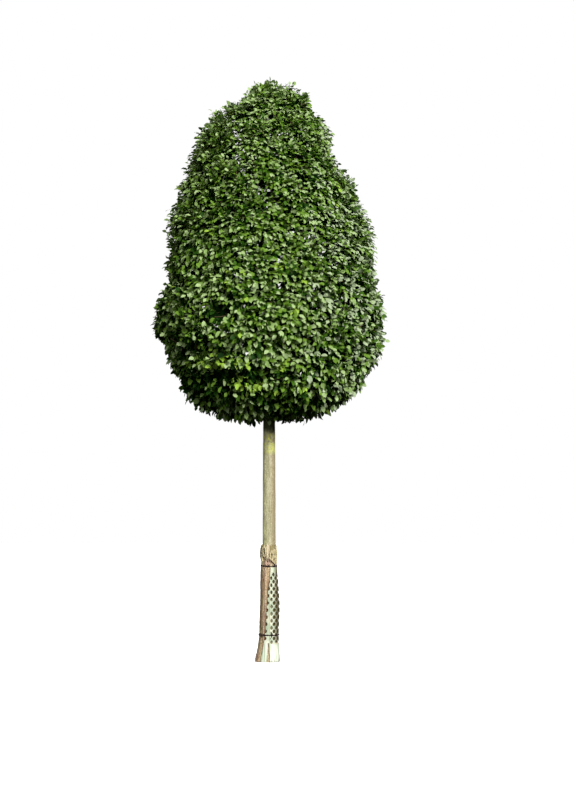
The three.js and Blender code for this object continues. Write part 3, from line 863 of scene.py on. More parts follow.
side_ends = crown_spiral(SIDE_PATCH, SIDE_BELOW_TOP)
side_ends += rng.uniform(-SIDE_JITTER / 2, SIDE_JITTER / 2, side_ends.shape)
side_mass = mass_of(side_ends)
side_parent = nearest(side_ends, side_mass, main_ends, main_mass)
side_tips = side_ends - SIDE_INSET * outward_at(side_ends)
sides = grow_from(mains, side_parent, side_tips, side_mass, SIDE_FORKS, SIDE_LEAN)


def grow_shoots(patch, inset, dome, spread):
    """Shoots to even places down the crown, drawn back between the tufts that the side twigs carry."""
    ends = crown_spiral(patch, SHOOT_BELOW_TOP, SHOOT_CROWDING)
    ends += rng.uniform(-SHOOT_JITTER / 2, SHOOT_JITTER / 2, ends.shape)
    own_mass = mass_of(ends)
    parent = nearest(ends, own_mass, side_ends, side_mass)
    outward = outward_at(ends)
    back = inset * (1 - SHOOT_INSET_EASE * np.abs(outward[:, 2]))
    back += dome * np.minimum((gap_to(ends, side_ends) / TUFT_REACH) ** 2, DOME_MOST)
    back += amount_at(TUFT_SWELLS, direction_of(ends), ends[:, 2])
    back += rng.uniform(-spread, spread, len(ends))
    shoots = grow_from(sides, parent, ends - back[:, None] * outward, own_mass, SHOOT_FORKS, SHOOT_LEAN)
    shoots.parent, shoots.back = parent, back
    return shoots


outer_shoots = grow_shoots(SHOOT_PATCH, SHOOT_INSET, TUFT_DOME, SHOOT_SPREAD)
inner_shoots = grow_shoots(INNER_PATCH, INNER_INSET, INNER_DOME, INNER_SPREAD)


def leaf_template():
    """A pointed oval leaf of unit length along +Y, folded along its middle, with its tip turned down."""
    shape = bmesh.new()
    rib = [(0, 0, 0), (0, 0.5, 0.03), (0, 1, -0.1)]
    edge = [(0.19, 0.1, 0.02), (0.335, 0.4, 0.07), (0.235, 0.75, 0.03)]
    foot, middle, end = [shape.verts.new(point) for point in rib]
    for side in (1, -1):
        rim = [foot, *(shape.verts.new((side * x, y, z)) for x, y, z in edge), end]
        for first, second in zip(rim, rim[1:]):
            corners = (first, second, middle)
            shape.faces.new(corners if side == 1 else corners[::-1])
    shape.verts.index_update()
    points = np.array([vert.co for vert in shape.verts])
    faces = np.array([[vert.index for vert in face.verts] for face in shape.faces])
    shape.free()
    return points, faces


LEAF_POINTS, LEAF_FACES = leaf_template()


def grow_leaves(shoots, first):
    """Leaves by turns on both sides of each shoot, from its share first on, facing out and up, with their
    tips hanging."""
    number, count = len(shoots.tip), LEAVES_PER_SHOOT
    jitter = rng.uniform(-LEAF_JITTER, LEAF_JITTER, (number, count))
    share = np.clip(np.linspace(first, 1, count)[None] + jitter, 0, 1)
    root, way = shoots.at(share)
    outward = outward_at(root)
    lie_flat = np.interp(root[..., 2:], FLAT_HEIGHTS, FLAT_SHARES)
    facing = unit(FACING_OUT * outward + lie_flat * UP + rng.normal(0, FACING_SCATTER, root.shape))
    across = unit(np.cross(facing, way))
    turn = np.radians(rng.uniform(*LEAF_TURNS, (number, count)))
    turn[:, -1] = rng.uniform(-END_LEAF_TURN, END_LEAF_TURN, number)
    sign = np.where((np.arange(count) + rng.integers(0, 2, (number, 1))) % 2, 1, -1)
    along = way * np.cos(turn)[..., None] + across * (np.sin(turn) * sign)[..., None]
    along = unit(along + LEAF_OUT * outward - LEAF_DROOP * UP + rng.normal(0, WAY_SCATTER, root.shape))
    facing = unit(facing - along * np.sum(facing * along, axis=-1, keepdims=True))
    width = np.cross(along, facing)
    size = LEAF_LENGTH * rng.uniform(*LEAF_SIZES, (number, count)) * (1 - END_LEAF_SMALLER * share)
    size *= leaf_scale(root[..., 2])
    broad = rng.uniform(*LEAF_BREADTHS, (number, count))
    bow = rng.uniform(*LEAF_BOWS, (number, count))
    basis = np.stack([width * broad[..., None], along, facing * bow[..., None]], axis=-2)
    shoots.leaves = root[..., None, :] + (LEAF_POINTS @ basis) * size[..., None, None]
    shoots.roots, shoots.share = root, share


def shade_leaves(shoots, depth_from):
    """A green for each leaf: painted shade deeper inside, at a shoot's foot and in listed places, painted
    light upward, to the right and in listed places, a pale painted sheen on the right, and freshest low on
    the left.
    """
    tip = shoots.tip
    outward = outward_at(tip)
    tuft = np.random.default_rng(TUFT_SEED).uniform(-0.5, 0.5, len(side_ends))[shoots.parent]
    value = MEAN_SHADE + tuft + rng.normal(0, SPRAY_SPREAD, len(tip))
    # Painted light: lighter greens where the crown faces up and to the right
    value += UPWARD_PAINTED_LIGHT * outward[:, 2] + RIGHT_PAINTED_LIGHT * outward[:, 0]
    # Painted shade: deeper greens where a shoot lies back in the crown
    value -= DEPTH_SHADE * np.maximum(shoots.back - depth_from, 0)
    # Painted shade, or painted light where the number is negative, at listed places
    value -= amount_at(SHADED_PLACES, direction_of(tip), tip[:, 2])
    # Painted shade: deeper greens towards each shoot's foot
    value = value[:, None] - FOOT_SHADE * (1 - shoots.share)
    value += rng.normal(0, LEAF_SPREAD, shoots.share.shape)
    shade = np.clip(np.round(value), 0, LIGHTEST).astype(int)
    chance = rng.uniform(0, 1, (len(tip), 1))
    x, y, z = tip[:, :1], tip[:, 1:2], tip[:, 2:]
    fresh = 0.0
    for place, level, wide, tall in BRIGHT_PATCHES:
        fresh = fresh + np.exp(-(((x - place) / wide) ** 2) - ((z - level) / tall) ** 2)
    shade[(chance < BRIGHT_CHANCE * fresh) & (y < 0) & (shade > 1)] = BRIGHT
    # Painted sheen: pale greens dealt out on the right of the crown
    right = np.clip((x - SHEEN_FROM) / SHEEN_EASE, 0, 1)
    shade[(chance > 1 - SHEEN_CHANCE * right) & (shade > 2) & (shade <= LIGHTEST)] = PALE_SHEEN
    stray = (chance > STRAY_BRIGHT[0]) & (chance < STRAY_BRIGHT[1])
    shade[stray & (shade > 2) & (shade <= LIGHTEST)] = BRIGHT
    shoots.shades = shade


grow_leaves(outer_shoots, OUTER_LEAVES_FROM)
grow_leaves(inner_shoots, INNER_LEAVES_FROM)
shade_leaves(outer_shoots, SHADE_DEPTH_OUTER)
shade_leaves(inner_shoots, SHADE_DEPTH_INNER)


def clear_of_trunk(roots):
    apart = roots[..., :2] - trunk_axis(roots[..., 2])[..., :2]
    return (np.linalg.norm(apart, axis=-1) > TRUNK_CLEARANCE) | (roots[..., 2] > TRUNK_HEIGHT)


def twigs_of(growth, number, radii, rings, strands, tone):
    """The twigs of one mass, as a part for joined_mesh."""
    foot_radius, tip_radius = radii
    own = growth.only(growth.mass == number)
    share = np.broadcast_to(np.linspace(0, 1, rings), (len(own.tip), rings))
    corners = tube_corners(own.at(share)[0], foot_radius + (tip_radius - foot_radius) * share, strands)
    return corners, tube_faces(rings, strands), tone


for number, mass in enumerate(masses):
    parts = []
    for shoots in (outer_shoots, inner_shoots):
        kept = (shoots.mass == number)[:, None] & clear_of_trunk(shoots.roots)
        parts.append((shoots.leaves[kept], LEAF_FACES, shoots.shades[kept]))
    place_piece(f"{mass.name}_leaves", joined_mesh(mass.name, parts), LEAF_GREENS, [mass.name])

    stem_radius = mass.tier.tip_radius if mass.tier else TOP_STEM_RADIUS
    parts = [
        twigs_of(stems, number, (stem_radius, STEM_TAPER * stem_radius), 4, 8, WOODY),
        twigs_of(mains, number, MAIN_RADII, 8, 5, WOODY),
        twigs_of(sides, number, SIDE_RADII, 5, 3, WOODY),
        twigs_of(outer_shoots, number, SHOOT_RADII, 3, 3, GREEN),
        twigs_of(inner_shoots, number, SHOOT_RADII, 3, 3, WOODY),
    ]
    name = f"{mass.name.replace('foliage', 'mass')}_twigs"
    place_piece(name, joined_mesh(name, parts), TWIG_BROWNS, [mass.name])

# Wrapping at the foot: sacking bound round the stem
WRAP_HEIGHTS = [0.002, 0.06, 0.16, 0.27, 0.52, 0.8, 0.9, 0.95, 1.01, 1.12, 1.205]
WRAP_RADII = [0.108, 0.105, 0.1, 0.095, 0.096, 0.087, 0.08, 0.076, 0.081, 0.087, 0.079]
WRAP_FOOT = 0.002
WRAP_TOP = 1.15
# Its tail on the ground: direction, height, amount out, tallness and width
WRAP_TAIL = [(190, 0, 0.024, 0.11, 35)]
# At mid height the wrap, and the guard over it, stand further right
SHIFT_OUT = 0.011
SHIFT_LEVEL = 0.58
SHIFT_TALL = 0.22
# Profile from the hem at the ground to the hem at the top: share of the rows, then share of the height
WRAP_PROFILE = [(0, 0.002), (0.05, 0.002), (0.92, 1), (0.96, 1.006), (1, 0.985)]
WRAP_COLUMNS = 150
WRAP_ROWS = 240
# The hems turn in to the trunk below the first of these shares of the rows and above the second
FOOT_HEM = 0.05
TOP_HEM = 0.94
WRAP_SUNK = 0.004
PARTED_OUT = 0.007
TUFT_FOOT = 0.95
HOLLOWS_FROM = 0.97
STRAW_IN_SHADE_FROM = 0.98
TUFT_INSET = 0.011
TUFT_INSET_EASE = 0.05
TUFT_PARTING = 266
TUFT_PARTING_WIDE = 9
TUFT_PARTING_FOOT = 0.99
TUFT_PARTING_TALL = 0.1
PARTING_SMOOTH_FROM = 0.15


def wrap_radius(height, direction):
    shift = SHIFT_OUT * np.exp(-(((height - SHIFT_LEVEL) / SHIFT_TALL) ** 2))
    radius = np.interp(height, WRAP_HEIGHTS, WRAP_RADII) + amount_at(WRAP_TAIL, direction, height)
    return radius + shift * np.cos(np.radians(direction))


def tuft_inset(height):
    """The sacking is drawn in above the tie, where loose straw makes the outline."""
    return TUFT_INSET * np.clip((height - TUFT_FOOT) / TUFT_INSET_EASE, 0, 1)


# Folds of the sacking above the tie: direction, height, depth, tallness and width of each hollow
TUFT_HOLLOWS = [
    (236, 1.1, 0.03, 0.026, 5),
    (290, 1.055, 0.024, 0.02, 5),
    (215, 1.1, 0.016, 0.03, 8),
    (318, 1.12, 0.018, 0.03, 8),
    (20, 1.1, 0.018, 0.03, 8),
    (75, 1.13, 0.018, 0.03, 8),
    (130, 1.09, 0.018, 0.03, 8),
]


def tuft_parting(direction, height):
    """How far the sacking lies down on the trunk between the two bunches of its tuft, from 0 to 1."""
    aside = float(turn_between(TUFT_PARTING, direction)) / TUFT_PARTING_WIDE
    return math.exp(-(aside**4)) * clamp((height - TUFT_PARTING_FOOT) / TUFT_PARTING_TALL)


def tuft_hollow(direction, height):
    """How deep the hollows in the tuft are at a place."""
    return float(amount_at(TUFT_HOLLOWS, direction, height))


def sacking_fold(direction, height):
    """How far the sacking's folds stand in or out. Above the tie they are looser."""
    angle = math.radians(direction)
    folds = 0.0022 * math.sin(9 * angle + 2 * math.sin(3.3 * height))
    folds += 0.0014 * math.sin(17 * angle + 5 * height)
    folds *= 1 + 1.8 * clamp((height - TUFT_FOOT) / 0.08)
    folds += lumps(direction, height, 0.003, 4, 12, (0, 3))
    folds += lumps(direction, height, 0.0012, 30, 16, (0, 7))
    return folds - tuft_hollow(direction, height)


# Under the guard the sacking lies flat, with its shadow painted into its colour. The guard's open front
# edge leans and curves.
GUARD_TOP = 0.938
GUARD_SIDE = 150
FRONT_HEIGHTS = [0.012, 0.06, 0.23, 0.37, 0.51, 0.65, 0.72, 0.86, 0.938]
FRONT_TURNS = [224, 228, 245, 251, 257, 263, 266, 279, 284]
UNDER_FROM = 0.02
UNDER_TO = 0.01
UNDER_LEVEL_EASE = 0.03
UNDER_GAP = 0.0065
UNDER_EASE = 5
FLATTER = 0.7
SHADE_FROM = 0.195
SHADE_INSIDE = 1.5
EDGE_SHADE = 5
HOLLOW_SHADE_FROM = 0.009
# Behind one column of the guard's holes, a lighter painted shade in straw colour shows instead of the
# darker painted shadow
LIGHTER_SHADE_HOLES = 286
LIGHTER_SHADE_WIDE = 2.2
LIGHTER_SHADE_TOP = 0.62


def guard_front(height):
    """The direction of the guard's open front edge."""
    return float(np.interp(height, FRONT_HEIGHTS, FRONT_TURNS))


def under_guard(direction, height):
    """How far a place is under the guard, from 0 at its edges to 1."""
    front = guard_front(height)
    past = (direction - front) % 360
    left = GUARD_SIDE + 360 - front - past
    level = min(height - UNDER_FROM, GUARD_TOP - UNDER_TO - height) / UNDER_LEVEL_EASE
    return clamp(min(past / UNDER_EASE, left / UNDER_EASE, level))


def wrap_point(around_share, along_share):
    direction = 360 * (around_share % 1)
    top = WRAP_TOP + lumps(direction, 1, 0.018, 3, 4) + lumps(direction, 1, 0.016, 11, 9)
    level = float(np.interp(along_share, *zip(*WRAP_PROFILE)))
    height = WRAP_FOOT + (top - WRAP_FOOT) * (level - WRAP_FOOT) / (1 - WRAP_FOOT)
    under = under_guard(direction, height)
    outer = float(wrap_radius(height, direction)) - UNDER_GAP * under - tuft_inset(height)
    outer += sacking_fold(direction, height) * (1 - FLATTER * under)
    inner = trunk_radius(height, direction) - WRAP_SUNK
    outer += (inner + PARTED_OUT - outer) * tuft_parting(direction, height)
    tuck = clamp(max(1 - along_share / FOOT_HEM, (along_share - TOP_HEM) / (1 - TOP_HEM)))
    return Vector(around(direction, outer + (inner - outer) * tuck, height))


def sacking_at(direction, height):
    """Which of the sackings shows at a place. Under the guard, by its edge, in the tuft's hollows and over
    the tuft, shade is painted into the sacking's colour.
    """
    # Painted shade under the guard, with a lighter painted shade behind one column of its holes
    if height > SHADE_FROM and under_guard(direction + SHADE_INSIDE, height) > 0:
        lighter_shade = abs(turn_between(LIGHTER_SHADE_HOLES, direction)) < LIGHTER_SHADE_WIDE and height < LIGHTER_SHADE_TOP
        return STRAW_IN_SHADE if lighter_shade else IN_SHADE
    # Painted shadow in a band beside the guard's open edge
    if height > SHADE_FROM and under_guard(direction + EDGE_SHADE, height) > 0:
        return SHADOW_BY_EDGE
    # Painted shade in the tuft's hollows
    if height > HOLLOWS_FROM and tuft_hollow(direction, height) > HOLLOW_SHADE_FROM:
        return IN_SHADE
    if tuft_parting(direction, height) > PARTING_SMOOTH_FROM:
        return SMOOTH
    # Above the tie, straw colour with painted shade between the loose straws
    return STRAW_IN_SHADE if height > STRAW_IN_SHADE_FROM else OPEN


wrap = bmesh.new()
wrapped_sheet(wrap, WRAP_COLUMNS, WRAP_ROWS, wrap_point, closed_ends=False)
for face in wrap.faces:
    centre = face.calc_center_median()
    face.material_index = sacking_at(math.degrees(math.atan2(centre.y, centre.x)), centre.z)
finish_shape("sacking_wrap", wrap, SACKINGS, ["trunk_wrap"])

# Loose straw and threads: tufts over the tie, threads down the sacking and a frayed foot. Each kind has its
# count, the heights it starts at, its rise, how far it bellies out, the most it curls back, its directions,
# sway, thickness, tone and number of sides.
STRAW_RINGS = 12
STRAW_TAPER = 0.5
THICKNESSES = (0.6, 1.2)
LOWEST_STRAW = 0.003
WAVES = (4, 9)
WAVE_SWAY = 0.35
STRAW_CLEARANCE = 0.001
STRAW_INSET_SHARE = 0.6
EYE_TALLER = 1.4
EYE_WIDER = 1
TUFT_STRAWS = [
    (22, (0.955, 1.03), (0.1, 0.2), (0.001, 0.01), 0.8, (196, 221), 4, 0.0018, PALE_STRAW, 3),
    (14, (0.955, 1.03), (0.1, 0.2), (0.001, 0.01), 0.8, (249, 256), 3, 0.0018, PALE_STRAW, 3),
    (14, (0.955, 1.03), (0.1, 0.2), (0.001, 0.01), 0.8, (276, 282), 3, 0.0018, PALE_STRAW, 3),
    (34, (0.955, 1.03), (0.1, 0.2), (0.001, 0.01), 0.8, (296, 350), 8, 0.0018, PALE_STRAW, 3),
    (60, (0.955, 1.03), (0.08, 0.17), (0.001, 0.01), 0.8, (330, 555), 13, 0.0018, PALE_STRAW, 3),
    (50, (0.955, 1.06), (0.06, 0.13), (0.006, 0.018), 1.5, (298, 584), 10, 0.0018, PALE_STRAW, 3),
    (50, (0.95, 1.06), (0.04, 0.1), (0.001, 0.006), 0.5, (296, 588), 8, 0.0015, BROWN_STRAW, 3),
    (40, (0.95, 1.08), (0.04, 0.12), (0.001, 0.006), 0.5, (296, 588), 8, 0.0015, OLIVE_STRAW, 3),
    (20, (0.95, 1.0), (0.1, 0.19), (0.002, 0.01), 0.6, (298, 586), 8, 0.0042, PALE_STRAW, 6),
    (10, (0.95, 1.0), (0.08, 0.16), (0.002, 0.01), 0.6, (298, 586), 8, 0.0036, OLIVE_STRAW, 6),
    (10, (0.95, 0.97), (0.04, 0.09), (0.001, 0.004), 0.4, (244, 292), 5, 0.004, PINK_STRAW, 6),
]
THREADS = [
    (90, (0.95, 0.99), (0.03, 0.07), (0.001, 0.004), 0.3, None, 7, 0.001, PINK_STRAW, 3),
    (120, (0.3, 0.92), (-0.22, 0.22), (0.0, 0.005), 0.2, (150, 250), 7, 0.0013, BROWN_STRAW, 3),
    (90, (0.3, 0.92), (-0.22, 0.22), (0.0, 0.005), 0.2, (180, 250), 7, 0.0013, PINK_STRAW, 3),
    (110, (0.3, 0.92), (-0.22, 0.22), (0.0, 0.005), 0.2, (150, 225), 7, 0.0014, OLIVE_STRAW, 3),
    (110, (0.08, 0.26), (-0.2, -0.08), (0.0, 0.006), 0.0, (150, 225), 7, 0.0013, PALE_STRAW, 3),
    (50, (0.06, 0.2), (-0.16, -0.06), (0.002, 0.01), 0.0, (165, 215), 7, 0.0013, PINK_STRAW, 3),
]
# Straws twisted round a hollow: count, direction, height, half width, half height, then as above
LOOP_ANGLES = (3, 5.5)
LOOP_SIZES = (0.95, 1.5)
LOOP_LEVEL_SCATTER = 0.002
LOOP_TURN_SCATTER = 0.8
LOOP_BELLY = 0.006
LOOP_INSET_SHARE = 0.3
STRAW_LOOPS = [
    (7, 236, 1.1, 8, 0.04, 0.004, PALE_STRAW, 6),
    (6, 289, 1.05, 7, 0.032, 0.0038, PALE_STRAW, 6),
    (20, 236, 1.1, 9, 0.042, 0.0016, PALE_STRAW, 3),
    (20, 289, 1.05, 8, 0.035, 0.0016, PALE_STRAW, 3),
    (14, 313, 1.07, 9, 0.035, 0.0024, PALE_STRAW, 3),
    (20, 205, 1.06, 9, 0.035, 0.0018, PALE_STRAW, 3),
]
# A thicker straw that crosses the tuft
CORD_FOOT = 0.968
CORD_RISE = 0.08
CORD_FROM = 318
CORD_TO = 258
CORD_OUT = 0.011
CORD_ARC = (0.15, 0.85)
CORD_THICKNESS = 0.0042


def straw_part(routes, thickness, tone, strands):
    """Tubes along routes, as a part for joined_mesh."""
    taper = 1 - STRAW_TAPER * np.linspace(0, 1, STRAW_RINGS)
    radii = rng.uniform(*THICKNESSES, (len(routes), 1)) * thickness * taper
    return tube_corners(routes, radii, strands), tube_faces(STRAW_RINGS, strands), tone


def off_the_eyes(routes):
    """Only the routes that don't cross the two eye-shaped hollows at the front."""
    direction, height = direction_of(routes), routes[..., 2]
    crossing = np.zeros(direction.shape, bool)
    for turn, level, _, tall, wide in TUFT_HOLLOWS[:2]:
        beside = np.abs(turn_between(turn, direction)) < wide + EYE_WIDER
        crossing |= beside & (np.abs(height - level) < EYE_TALLER * tall)
    return routes[~crossing.any(axis=1)]


def loose_straws(count, starts, rises, bellies, curl, directions, sway, *looks):
    """Straws that leave the wrap at drawn places, belly out and lie back."""
    turn = rng.uniform(0, 360, (count, 1))
    if directions:
        turn = rng.uniform(*directions, (count, 1))
    start = rng.uniform(*starts, (count, 1))
    tall = rng.uniform(*rises, (count, 1))
    share = np.linspace(0, 1, STRAW_RINGS)[None]
    height = start + tall * share - np.abs(tall) * rng.uniform(0, curl, (count, 1)) * share**3
    height = np.maximum(height, LOWEST_STRAW)
    waves = rng.uniform(*WAVES, (count, 1)) * share + rng.uniform(0, math.tau, (count, 1))
    turn = turn + rng.normal(0, sway, (count, 1)) * share
    turn = turn + rng.normal(0, WAVE_SWAY * sway, (count, 1)) * np.sin(waves)
    belly = rng.uniform(*bellies, (count, 1)) * np.sin(math.pi * share)
    radius = wrap_radius(height, turn) + belly + STRAW_CLEARANCE - STRAW_INSET_SHARE * tuft_inset(height)
    return straw_part(off_the_eyes(around(turn, radius, height)), *looks)


def straw_loops(count, turn, level, wide, tall, *looks):
    start = rng.uniform(0, math.tau, (count, 1))
    angle = start + np.linspace(0, 1, STRAW_RINGS)[None] * rng.uniform(*LOOP_ANGLES, (count, 1))
    size = rng.uniform(*LOOP_SIZES, (count, 1))
    height = level + tall * size * np.sin(angle) + rng.normal(0, LOOP_LEVEL_SCATTER, (count, 1))
    direction = turn + wide * size * np.cos(angle) + rng.normal(0, LOOP_TURN_SCATTER, (count, 1))
    belly = rng.uniform(0, LOOP_BELLY, (count, 1))
    radius = wrap_radius(height, direction) - LOOP_INSET_SHARE * tuft_inset(height) + belly
    return straw_part(around(direction, radius, height), *looks)


def straw_cord():
    share = np.linspace(0, 1, STRAW_RINGS)
    height = CORD_FOOT + CORD_RISE * share
    turn = CORD_FROM + (CORD_TO - CORD_FROM) * share
    radius = wrap_radius(height, turn) + CORD_OUT * np.sin(math.pi * np.linspace(*CORD_ARC, STRAW_RINGS))
    return straw_part(around(turn, radius, height)[None], CORD_THICKNESS, PALE_STRAW, 6)


straw_parts = [loose_straws(*kind) for kind in TUFT_STRAWS]
straw_parts += [straw_loops(*kind) for kind in STRAW_LOOPS]
straw_parts += [loose_straws(*kind) for kind in THREADS]
straw_parts.append(straw_cord())
place_piece("loose_straw", joined_mesh("loose_straw", straw_parts), STRAW_TONES)

# Guard: a thin sleeve over the sacking, open along one side, slit at its foot and pierced by rows of holes
GUARD_BOTTOM = 0.004
GUARD_THICKNESS = 0.0025
GUARD_STAND_OFF = 0.0028
HOLE_STEP = 15.3
HOLE_FIRST = 285.5
COLUMNS = range(-6, 17)
ROWS = range(-4, 13)
ROW_HEIGHT = 0.2
TILE_SIDES = 16
CREASE_COLUMN = -0.5
CREASE_WIDTH = 0.05
EDGE_COLUMN = -1
EDGE_TURN_MOST = 269
EDGE_STEP_MOST = 22.5
EDGE_SLANT_FROM = 0.72
EDGE_SLANT = 0.28
HOLE_PITCH = 0.07
HOLE_WIDTH = 0.031
NARROW_HOLE_WIDTH = 0.024
HOLE_HEIGHT = 0.037
HOLES_FROM = 0.19
HOLES_TO = 0.885
SLIT_FIRST = 267
SLITS_APART = 80
SLIT_COUNT = 3
SLIT_TOP = 0.19
SLIT_TOP_WIDTH = 0.008
SLIT_FOOT_WIDTH = 0.03
MEAN_GUARD_RADIUS = 0.096
FACET_TURN = 5
RIPPLE = 0.0012
CREASE_TURN = 272
CREASE_DEPTH = 0.003
CREASE_HALF_TURN = 3


def half_turn(width):
    """Half the turn that a width takes up round the guard, in degrees."""
    return math.degrees(width / 2 / MEAN_GUARD_RADIUS)


def guard_tile(sheet, column, height, pierced):
    """One lozenge of the flat sheet, in columns of holes and metres, with or without its hole."""
    made = bmesh.ops.create_circle(sheet, segments=TILE_SIDES, radius=1, cap_ends=not pierced)["verts"]
    rims = [made]
    if pierced:
        rims.append(bmesh.ops.create_circle(sheet, segments=TILE_SIDES, radius=1)["verts"])
    for vert in made:
        reach = abs(vert.co.x) + abs(vert.co.y)
        vert.co = (column + vert.co.x / reach, height + HOLE_PITCH / 2 * vert.co.y / reach, 0)
    if pierced:
        wide = half_turn(HOLE_WIDTH if column > 0 else NARROW_HOLE_WIDTH) / HOLE_STEP
        for vert in rims[1]:
            vert.co = (column + wide * vert.co.x, height + HOLE_HEIGHT / 2 * vert.co.y, 0)
        edges = {edge for rim in rims for vert in rim for edge in vert.link_edges}
        bmesh.ops.bridge_loops(sheet, edges=list(edges))


def trim_sheet(sheet, point, away):
    """Cuts the flat sheet along a line, and takes off the side that away points to."""
    parts = sheet.verts[:] + sheet.edges[:] + sheet.faces[:]
    bmesh.ops.bisect_plane(sheet, geom=parts, dist=1e-7, plane_co=point, plane_no=away, clear_outer=True)


def crease_sheet(sheet, point, across, top):
    """Parts the faces of the flat sheet along a line, as far as they lie below top."""
    parts = [vert for vert in sheet.verts if vert.co.y < top]
    parts += [edge for edge in sheet.edges if all(vert.co.y < top for vert in edge.verts)]
    parts += [face for face in sheet.faces if all(vert.co.y < top for vert in face.verts)]
    bmesh.ops.bisect_plane(sheet, geom=parts, dist=1e-7, plane_co=point, plane_no=across)


def cut_slit(sheet, turn):
    """A narrow notch from the foot, which widens downwards."""
    foot, top = half_turn(SLIT_FOOT_WIDTH), half_turn(SLIT_TOP_WIDTH)
    above = SLIT_TOP + HOLE_PITCH
    for side in (1, -1):
        crease_sheet(sheet, (turn + side * foot, 0, 0), (side * SLIT_TOP, foot - top, 0), above)
    crease_sheet(sheet, (turn, SLIT_TOP, 0), (0, 1, 0), above)
    inside = []
    for face in sheet.faces:
        centre = face.calc_center_median()
        width = foot + (top - foot) * centre.y / SLIT_TOP
        if centre.y < SLIT_TOP and abs(centre.x - turn) < width:
            inside.append(face)
    bmesh.ops.delete(sheet, geom=inside, context="FACES")


def hole_turn(column, height):
    """The direction of a column of holes. A crease parts the first column, which leans, from the rest."""
    past = clamp((CREASE_COLUMN + CREASE_WIDTH / 2 - column) / CREASE_WIDTH)
    upright = HOLE_FIRST + HOLE_STEP * column
    edge = min(guard_front(height), EDGE_TURN_MOST)
    room = HOLE_FIRST + HOLE_STEP * CREASE_COLUMN - edge
    step = min(EDGE_STEP_MOST, room / (CREASE_COLUMN - EDGE_COLUMN))
    leaning = edge + step * (column - EDGE_COLUMN)
    return upright + (leaning - upright) * past


def guard_shape():
    sheet = bmesh.new()
    for column in COLUMNS:
        for row in ROWS:
            height = HOLE_PITCH * (row + 0.5 * (column % 2)) + ROW_HEIGHT
            guard_tile(sheet, column, height, HOLES_FROM < height < HOLES_TO)
    bmesh.ops.remove_doubles(sheet, verts=sheet.verts, dist=1e-5)
    trim_sheet(sheet, (0, GUARD_TOP, 0), (0, 1, 0))
    trim_sheet(sheet, (0, GUARD_BOTTOM, 0), (0, -1, 0))
    trim_sheet(sheet, (EDGE_COLUMN, 0, 0), (-1, 0, 0))
    trim_sheet(sheet, (EDGE_COLUMN, EDGE_SLANT_FROM, 0), (-EDGE_SLANT, 1, 0))
    for vert in sheet.verts:
        vert.co.x = hole_turn(vert.co.x, vert.co.y)
    trim_sheet(sheet, (GUARD_SIDE + 360, 0, 0), (1, 0, 0))
    for turn in range(FRONT_TURNS[0], GUARD_SIDE + 360, FACET_TURN):
        crease_sheet(sheet, (turn, 0, 0), (1, 0, 0), GUARD_TOP + HOLE_PITCH)
    for i in range(SLIT_COUNT):
        cut_slit(sheet, SLIT_FIRST + SLITS_APART * i)
    for vert in sheet.verts:
        turn, height = vert.co.x, vert.co.y
        ripple = RIPPLE * noise.noise(Vector((turn / 25, height * 6, 2)))
        crease = CREASE_DEPTH * math.exp(-(((turn - CREASE_TURN) / CREASE_HALF_TURN) ** 2))
        radius = float(wrap_radius(height, turn)) + GUARD_STAND_OFF + ripple - crease
        vert.co = around(turn, radius, height)
    return sheet


guard = finish_shape("guard_sleeve", guard_shape(), [GUARD_PLASTIC], ["trunk_guard"])
wall = guard.modifiers.new("wall", "SOLIDIFY")
wall.thickness = GUARD_THICKNESS
wall.offset = 0

# Ties: loops of two thin wires twisted into one, round the guard and round the sacking above it
WIRE_RADIUS = 0.0018
WIRE_SIDES = 7
LOOP_TILT_TURN = 40
LOOP_POINTS = 145
# The lower tie's three loops part where they lie on bare sacking, and are knotted at the front
LOWER_TIE_HEIGHT = 0.27
LOWER_STAND_OFF = 0.0078
LOWER_WAVE = 0.0015
LOWER_TWISTS = 48
SPREAD_TURN = 205
SPREAD_WIDE = 32
LOOP_SPREADS = (-0.008, 0, 0.008)
LOOP_STEP = 0.3
KNOT_TURN = 293
KNOT_COILS = 2.5
KNOT_COIL_RADIUS = 0.0035
KNOT_HALF_HEIGHT = 0.004
KNOT_OUT = 0.001
KNOT_ENDS = [(-12, 0.009, 0.034), (-16, 0.008, -0.042)]
KNOT_END_CURL = 0.003
KNOT_END_RADIUS = 1.7 * WIRE_RADIUS
# The upper tie's loops, each at a height over its middle and with a wave, and its loose end over the tuft
UPPER_TIE_HEIGHT = 0.95
UPPER_STAND_OFF = 0.0045
UPPER_LOOPS = [(-0.004, 0.003), (0, -0.002), (0.004, 0.002)]
UPPER_TWISTS = 40
LOOSE_END_FROM = 326
LOOSE_END_TO = 253
LOOSE_END_RISE = 0.076
LOOSE_END_OUT = 0.004
LOOSE_END_SLACK = 0.009
LOOSE_END_TWISTS = 12


def add_wire(shape, route, radius=WIRE_RADIUS, closed=False):
    swept_tube(shape, route, lambda share, angle: radius, WIRE_SIDES, closed)


def twisted_wire(shape, route, turns, closed=False):
    """Adds two wires wound round each other along a route."""
    route = [Vector(point) for point in route]
    last = len(route) - 1
    for start in (0, math.pi):
        points = []
        for i, centre in enumerate(route):
            ahead = route[min(i + 1, last)] - route[max(i - 1, 0)]
            if closed and i in (0, last):
                ahead = route[1] - route[last - 1]
            side = ahead.cross(Vector((0, 0, 1))).normalized()
            third = ahead.cross(side).normalized()
            angle = start + math.tau * turns * i / last
            points.append(centre + WIRE_RADIUS * (side * math.cos(angle) + third * math.sin(angle)))
        add_wire(shape, points, closed=closed)


